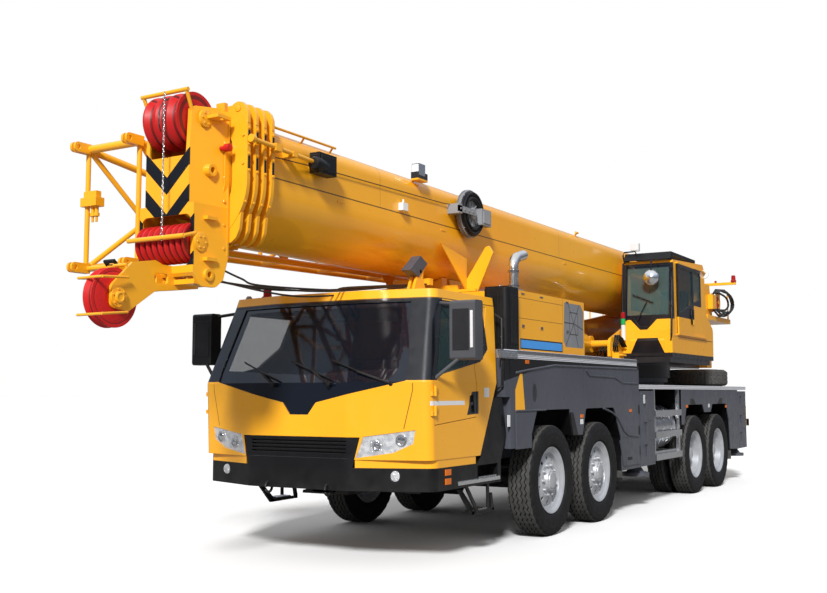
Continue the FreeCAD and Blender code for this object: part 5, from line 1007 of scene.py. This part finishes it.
def chassis_details():
    """Tank straps, outrigger covers' bolts, tail lamps and brackets, mud flaps, pipes and air tanks."""
    straps = Form()
    for x in (-3.95, -4.30, -4.65):
        straps.turned((x - 0.02, 0.98, 1.08), X, [(0, 0.3305), (0, 0.337), (0.045, 0.337), (0.045, 0.3305)], 64)
    straps.turned((-4.1, 1.12, 1.37), (0.0, 0.42, 0.9), [(0, 0.06), (0.06, 0.06), (0.065, 0.045), (0.065, 0.0)],
                  24)
    straps.mirrored().ride("tank_straps", "bright", slot="silver_metal")
    for label, x0, sign in (("front_left", -3.355, 1), ("front_right", -3.355, -1), ("rear_left", -8.8, 1),
                            ("rear_right", -8.8, -1)):
        cover = Form()
        for x in (x0 - 0.255, x0 + 0.255):
            for z in (0.62, 0.86, 1.10, 1.34, 1.57):
                cover.bolt((x, sign * 1.375, z), (0, sign, 0), 0.014, 0.006)
        for z in (1.20, 0.93):
            cover.box(x0 - 0.23, x0 - 0.02, sign * 1.3745, sign * 1.379, z, z + 0.012)
        cover.ride(f"cover_bolts_{label}", "chassis_paint", f"outrigger_{label}")
    housing = Form()
    for sign in SIDES:
        housing.box(-9.275, -9.258, sign * 0.86, sign * 1.26, 0.70, 0.82)
    housing.box(-9.27, -9.258, -0.30, 0.30, 0.66, 0.84).ride("tail_lamp_housings", "black_plastic")
    for name, spans in (("red", ((1.12, 1.24), (0.88, 0.95))), ("amber", ((1.04, 1.11),)),
                        ("white", ((0.96, 1.03),))):
        lamps = Form()
        for sign in SIDES:
            for y0, y1 in spans:
                lamps.box(-9.281, -9.274, sign * y0, sign * y1, 0.715, 0.805)
        lamps.ride(f"tail_lamps_{name}", name)
    strips = Form()
    for z in (0.98, 1.17):
        strips.box(-9.13, -9.118, 1.29, 1.37, z, z + 0.17)
    strips.mirrored().ride("tail_strips", "yellow_paint")
    flaps = Form()
    for x in (-2.27, -7.93):
        flaps.box(x - 0.006, x + 0.006, 0.74, 1.365, 0.42, 1.02)
    flaps.mirrored().ride("mud_flaps", "tyre")
    pipes = Form()
    for y, z in ((0.43, 1.22), (0.45, 1.17), (-0.43, 1.22), (-0.45, 1.17)):
        pipes.rod([(1.1, y, z), (-3.0, y, z), (-3.9, y, z + 0.02), (-8.3, y, z)], 0.012, 8)
    pipes.ride("frame_pipes", "hose")
    tanks = Form()
    for x, y, r in ((-2.55, 0.62, 0.14), (-4.95, 0.55, 0.13)):
        for sign in SIDES:
            tanks.turned((x - 0.35, sign * y, 1.0), X, [(0, 0.0), (0.01, r - 0.03), (0.05, r), (0.65, r),
                                                        (0.69, r - 0.03), (0.7, 0.0)], 28)
    tanks.ride("air_tanks", "axle_paint")
    tail = Form()
    for sign in SIDES:
        tail.box(-9.33, -9.25, sign * 1.22, sign * 1.30, 0.70, 1.05)
        tail.box(-9.33, -9.30, sign * 1.22, sign * 1.372, 0.97, 1.10)
    tail.ride("tail_brackets", "black_plastic")


def axle_details():
    """Leaf springs, brake chambers, axle housings, drive shafts and steering links."""
    springs, chambers = Form(), Form()
    for x in AXLES:
        for sign in SIDES:
            for i in range(5):
                reach, z = 0.56 - i * 0.09, 0.736 - i * 0.012
                springs.box(x - reach, x + reach, sign * 0.312, sign * 0.388, z - 0.005, z + 0.005)
            for dx in (-0.06, 0.06):
                springs.box(x + dx - 0.012, x + dx + 0.012, sign * 0.305, sign * 0.395, 0.535, 0.76)
            at = (x - 0.10, sign * 0.60, 0.83)
            chambers.turned(at, (0.2, 0, 1), [(0, 0.0), (0, 0.075), (0.05, 0.085), (0.06, 0.09), (0.07, 0.085),
                                              (0.14, 0.07), (0.14, 0.0)], 24)
            chambers.rod([at, (at[0], at[1], 0.66)], 0.015)
        chambers.turned((x, -0.19, 0.613), Y, [(0, 0.15), (0.03, 0.215), (0.35, 0.215), (0.38, 0.15)], 32)
    springs.ride("leaf_springs", "axle_paint")
    chambers.ride("brake_chambers", "axle_paint")
    shafts = Form()
    for front, rear, z, rise in ((-0.85, -5.50, 0.78, -0.16), (-5.98, -6.90, 0.64, -0.02)):
        length = front - rear
        shafts.turned((front, 0, z), (-length, 0, rise),
                      [(0, 0.0), (0, 0.07), (0.08, 0.07), (0.1, 0.05), (length - 0.1, 0.05),
                       (length - 0.08, 0.07), (length, 0.07), (length, 0.0)], 20)
    shafts.box(-0.95, -0.2, -0.22, 0.22, 0.86, 1.0).ride("drive_shafts", "axle_paint")
    links = Form()
    for x in AXLES[:2]:
        links.rod([(x - 0.30, -0.80, 0.50), (x - 0.30, 0.80, 0.50)], 0.024)
    links.rod([(0.30, 0.47, 0.70), (-1.1, 0.47, 0.70)], 0.022).ride("steering_links", "axle_paint")


def deck_details():
    """Hood louvres and latches, intake ribs, exhaust clamps, deck studs, chests and spare tyre tread."""
    low, high = placed("engine_hood")
    louvres = Form()
    for x in (high.x - 0.25 - i * 0.075 for i in range(14)):
        louvres.box(x, x + 0.03, 0.55, 1.15, 2.699, 2.712)
    louvres.mirrored().ride("hood_louvres", "trim")
    latches = Form()
    for x in (high.x - 0.2, high.x - 0.7, low.x + 0.55):
        latches.box(x - 0.03, x + 0.03, 1.299, 1.308, 2.30, 2.33)
        latches.box(x - 0.04, x + 0.04, 1.299, 1.306, 2.66, 2.675)
    latches.rod([(high.x - dx, 1.05, z) for dx, z in ((0.15, 2.70), (0.15, 2.76), (0.75, 2.76), (0.75, 2.70))],
                0.012)
    latches.mirrored().ride("hood_latches", "steel")
    low, high = placed("intake_column")
    ribs = Form()
    for i in range(6):
        x = low.x + 0.075 + i * (high.x - low.x - 0.15) / 5
        ribs.box(x - 0.009, x + 0.009, high.y - 0.002, high.y + 0.008, 2.10, 2.62)
    for i in range(5):
        y = low.y + 0.075 + i * (high.y - low.y - 0.15) / 4
        ribs.box(high.x - 0.002, high.x + 0.008, y - 0.009, y + 0.009, 2.10, 2.62)
    ribs.box(low.x + 0.02, high.x - 0.02, low.y + 0.02, high.y - 0.02, 2.688, 2.71)
    ribs.ride("intake_ribs", "black_plastic")
    clamps = Form()
    for z in (2.74, 2.90):
        clamps.turned((0.63, 1.2, z), Z, [(0, 0.057), (0, 0.066), (0.03, 0.066), (0.03, 0.057)], 32)
        clamps.box(0.69, 0.72, 1.19, 1.21, z, z + 0.03)
    clamps.ride("exhaust_clamps", "steel")
    studs = Form()
    for first, last, z, step in ((-2.85, -1.1, 2.04, 0.075), (-9.0, -7.2, 1.70, 0.09), (-4.9, -3.1, 1.70, 0.09)):
        x, row = first, 0
        while x < last:
            for y in (0.72 + 0.035 * (row % 2) + 0.07 * k for k in range(9)):
                if z > 2 or not (abs(x - SPARE[0]) < 0.66 and y < 1.3):
                    studs.box(x - 0.016, x + 0.016, y - 0.005, y + 0.005, z, z + 0.004)
            x += step
            row += 1
    studs.mirrored().ride("deck_tread_studs", "silver_metal")
    Form().box(-2.80, -1.30, -1.30, -0.75, 2.0405, 2.30).ride("deck_chests", "chassis_paint")
    lids = Form().box(-2.82, -1.28, -1.32, -0.73, 2.30, 2.318)
    for x in (-2.5, -1.6):
        lids.box(x - 0.04, x + 0.04, -1.335, -1.318, 2.20, 2.26)
    lids.ride("deck_chest_lids", "silver_metal")
    spare = Form()
    for r, z in ((0.36, 2.008), (0.42, 2.008), (0.5, 2.0), (0.56, 2.0)):
        spare.turned((*SPARE, z), Z, [(-0.02, r - 0.006), (0.004, r), (-0.02, r + 0.006)], 60)
    for i, (x, y) in enumerate(around(60, 0.611, *SPARE)):
        for z in (1.76, 1.83, 1.90):
            spare.rod([(x, y, z + 0.01 * (i % 2)), (x, y, z + 0.01 * (i % 2) + 0.045)], 0.012, 4)
    spare.ride("spare_tyre_tread", "tyre")


def winch_details():
    """Rope wound on the winch, hose loops, valve blocks, slewing bolts and platform rails."""
    turns, steps = 26, 24
    rope = Form()
    for r in (0.20, 0.222):
        spots = around(steps, r, *WINCH) * turns
        rope.rod([(x, -0.29 + 0.58 * i / len(spots), z) for i, (x, z) in enumerate(spots)], 0.0115, 6)
    rope.ride("winch_rope", "rope", "turntable")
    hoses = Form()
    for y, reach, tall in ((1.26, 0.70, 0.25), (1.30, 0.60, 0.215), (1.335, 0.50, 0.18), (1.26, 0.40, 0.14)):
        bend = [(-8.13 + reach * 0.25 - reach * 1.02 * math.sin(t), y + 0.012 * math.sin(t),
                 3.215 + tall * math.cos(t)) for t in (math.pi * k / 18 for k in range(2, 19))]
        hoses.rod([(-7.46, y, 3.33), (-7.62, y, 3.36 + tall * 0.2)] + bend
                  + [(-7.80, y, 3.20 - tall), (-7.42, y, 3.05)], 0.018, 10)
    for i in range(4):
        y = 0.30 + 0.06 * i
        hoses.rod([(-4.62, y, 2.16), (-4.45, y + 0.03, 2.30), (-4.25 + 0.03 * i, y + 0.02, 2.22),
                   (-4.22, y, 2.12), (-4.4, y - 0.05, 2.09)], 0.015, 8)
    for y in (0.575, 0.605, 0.635):
        hoses.rod([(-4.28, y, 2.12), (-4.16, y + 0.02, 2.30), (-4.25, y + 0.02, 2.46), (-4.46, y, 2.42),
                   (-4.62, y, 2.30)], 0.014, 8)
    hoses.ride("upper_hoses", "hose", "turntable")
    block = Form().box(-4.42, -4.22, 0.553, 0.66, 2.08, 2.22).box(-7.5, -7.25, 1.21, 1.30, 3.05, 3.30)
    for i in range(5):
        block.turned((-4.40 + 0.04 * i, 0.66, 2.16), Y, [(0, 0.014), (0.05, 0.014), (0.05, 0.0)], 12)
    block.ride("valve_blocks", "yellow_paint", "turntable")
    cap = [(0, 0.0), (0, 0.10), (0.02, 0.10), (0.025, 0.0)]
    Form().turned((-7.76, 1.235, 3.20), Y, cap, 28).ride("hose_drum_cap", "red_paint", "turntable")
    bolts = Form()
    for x, z in around(12, 0.118, -7.5, 3.10):
        for sign in SIDES:
            bolts.bolt((x, sign * 0.557, z), (0, sign, 0), 0.014, 0.01)
    for x, y in around(36, 0.838, -6.0):
        bolts.bolt((x, y, 2.05), Z, 0.014, 0.012)
    bolts.ride("slewing_bolts", "steel", "turntable")
    rails = Form().rod([(-8.6, 1.22, 2.94), (-8.6, 1.22, 3.45), (-8.0, 1.22, 3.45), (-8.0, 1.22, 2.94)], 0.016)
    rails.rod([(-8.6, -1.22, 2.94), (-8.6, -1.22, 3.75), (-7.2, -1.22, 3.75), (-7.2, -1.22, 2.94)], 0.016)
    rails.rod([(-8.6, -1.22, 3.40), (-7.2, -1.22, 3.40)], 0.014)
    rails.rod([(-7.9, -1.22, 2.94), (-7.9, -1.22, 3.75)], 0.014)
    rails.ride("platform_rails", "yellow_paint", "turntable")


def fender_details():
    """Raised beads, panels, pockets and pale deck edges on the skins over the wheels."""
    beads = Form()
    for radius, path in (
            (0.012, [(0.97, 1.80), (0.67, 1.833), (-0.06, 1.9), (-1.08, 1.903), (-2.9, 1.912)]),
            (0.012, [(-1.03, 1.865), (-1.13, 1.801), (-2.02, 1.789), (-2.31, 1.722), (-2.92, 1.714)]),
            (0.014, [(-1.6, 1.395), (-1.9, 1.34), (-2.08, 1.28), (-2.24, 1.17), (-2.34, 1.09), (-2.5, 1.03),
                     (-2.92, 0.995)]),
            (0.01, [(0.97, 1.40), (0.20, 1.40)])):
        beads.rod([(x, 1.377, z) for x, z in path], radius, 8)
    beads.plate([(0.60, 1.00), (0.985, 1.00), (0.985, 1.375), (0.60, 1.375)], "y", 1.374, 1.386)
    beads.plate([(-2.30, 0.63), (-2.92, 0.63), (-2.92, 0.97), (-2.16, 0.97)], "y", 1.374, 1.388)
    beads.mirrored().ride("fender_beads", "chassis_paint")
    dark = Form()
    for z in (1.30, 1.02, 0.74):
        dark.box(-2.995, -2.94, SKIN_Y, 1.378, z, z + 0.12)
    dark.box(-2.62, -2.44, 1.387, 1.390, 0.70, 0.74).mirrored().ride("fender_pockets", "black_plastic")
    pale = Form().box(0.93, 1.38, 1.372, 1.382, 1.945, 2.03).box(-2.93, 0.93, 1.374, 1.380, 2.00, 2.036)
    for z in (1.965, 1.985, 2.005):
        pale.box(0.93, 1.38, 1.38, 1.386, z, z + 0.008)
    pale.mirrored().ride("deck_edge_plates", "bright", slot="silver_metal")


def boom_ropes():
    """Hoist ropes led back under the boom, their clamp and the guards in front of the arm's sheave."""
    rope = Form()
    for y, path in (
            (0.30, [(4.40, 2.62), (4.12, 2.56), (3.87, 2.525), (2.82, 2.575), (2.48, 2.63), (0.94, 2.80)]),
            (0.24, [(4.40, 2.52), (3.72, 2.52), (2.75, 2.57), (1.4, 2.74), (0.94, 2.80)]),
            (0.16, [(4.40, 2.55), (3.4, 2.49), (2.6, 2.545), (1.3, 2.735), (0.94, 2.80)]),
            (-0.10, [(4.40, 2.60), (3.4, 2.56), (2.4, 2.63), (0.94, 2.80)])):
        points = [Vector((x, y, z)) for x, z in path]
        smooth = []
        for before, a, b, after in zip([points[0]] + points, points, points[1:], points[2:] + [points[-1]]):
            for t in (k / 6 for k in range(6)):
                smooth.append(0.5 * ((2 * a) + (b - before) * t + (2 * before - 5 * a + 4 * b - after) * t * t
                                     + (3 * a - before - 3 * b + after) * t * t * t))
        rope.rod(smooth + [points[-1]], 0.009, 8)
    rope.ride("ropes_under_boom", "rope", "boom_base")
    Form().box(0.90, 0.98, -0.14, 0.34, 2.785, 2.86).ride("rope_clamp", "yellow_paint", "boom_base")
    guard = Form()
    for z, rise in ((2.46, 0.02), (2.18, 0.03)):
        guard.rod([(5.505, -0.13, z), (5.505, 0.13, z)], 0.011, 8)
        for sign in SIDES:
            guard.rod([(5.505, sign * 0.13, z), (5.22, sign * 0.105, z + rise)], 0.011, 8)
    guard.ride("arm_sheave_guards", "yellow_paint", "boom_head")


def floor():
    """Pale paper under the vehicle, darker to all but the camera."""
    mesh = bpy.data.meshes.new("floor")
    mesh.from_pydata([(a * FLOOR_SIZE, b * FLOOR_SIZE, 0) for a, b in ((-1, -1), (1, -1), (1, 1), (-1, 1))], [],
                     [(0, 1, 2, 3)])
    obj = bpy.data.objects.new("floor", mesh)
    bpy.context.scene.collection.objects.link(obj)
    look = Look("floor_paper", 0.9, Specular_IOR_Level=0.0)
    look.tone = look.mix(look.noise(0.5, 4.0), (0.95, 0.95, 0.95), (0.97, 0.97, 0.97))
    look.tone = look.mix(look.node("LightPath").outputs["Is Camera Ray"], (0.3, 0.3, 0.3), look.tone)
    mesh.materials.append(look.finish())


def lights():
    """A wide sun and a world that is white to the camera, a sky in reflections and a soft fill."""
    key = bpy.data.lights.new("key", "SUN")
    key.energy = KEY_STRENGTH
    key.angle = math.radians(KEY_DEGREES)
    obj = bpy.data.objects.new("key", key)
    bpy.context.scene.collection.objects.link(obj)
    obj.rotation_mode = "QUATERNION"
    obj.rotation_quaternion = Vector(KEY_FROM).to_track_quat("Z", "Y")
    world = bpy.data.worlds.new("studio")
    world.use_nodes = True
    bpy.context.scene.world = world
    nodes, link = world.node_tree.nodes, world.node_tree.links.new
    path = nodes.new("ShaderNodeLightPath").outputs
    background = nodes["Background"].inputs
    seen = path["Is Camera Ray"]
    for name in ("Is Glossy Ray", "Is Transmission Ray"):
        larger = nodes.new("ShaderNodeMath")
        larger.operation = "MAXIMUM"
        link(seen, larger.inputs[0])
        link(path[name], larger.inputs[1])
        seen = larger.outputs[0]
    level = nodes.new("ShaderNodeMapRange")
    level.inputs["To Min"].default_value = WORLD_FILL
    link(seen, level.inputs["Value"])
    link(level.outputs[0], background["Strength"])
    parts = nodes.new("ShaderNodeSeparateXYZ")
    link(nodes.new("ShaderNodeTexCoord").outputs["Generated"], parts.inputs[0])
    sky = nodes.new("ShaderNodeValToRGB")
    steps = sky.color_ramp.elements
    for i, (position, colour) in enumerate(SKY):
        step = steps[-1] if i == len(SKY) - 1 else steps[0] if i == 0 else steps.new(position)
        step.position, step.color = position, colour
    link(parts.outputs["Z"], sky.inputs["Fac"])
    choose = nodes.new("ShaderNodeMix")
    choose.data_type = "RGBA"
    choose.inputs[6].default_value = (1, 1, 1, 1)
    link(path["Is Glossy Ray"], choose.inputs[0])
    link(sky.outputs["Color"], choose.inputs[7])
    link(choose.outputs[2], background["Color"])


def camera():
    data = bpy.data.cameras.new("camera")
    data.lens = LENS_MM
    data.sensor_width = SENSOR_MM
    data.clip_end = 1000.0
    obj = bpy.data.objects.new("camera", data)
    bpy.context.scene.collection.objects.link(obj)
    right, up = Vector(RIGHT).normalized(), Vector(UP).normalized()
    turn = Matrix((right, up, right.cross(up))).transposed().to_4x4()
    obj.matrix_world = Matrix.Translation(EYE) @ turn
    bpy.context.scene.camera = obj


bpy.context.scene.view_settings.view_transform = "Standard"
camera()
lights()
floor()
FINISHES = scene_finishes(cad_materials())
for details in (road_wheels, cab_details, front_lamps, collar_details, boom_details, head_details,
                operator_details, chassis_details, axle_details, deck_details, winch_details, fender_details,
                boom_ropes):
    details()
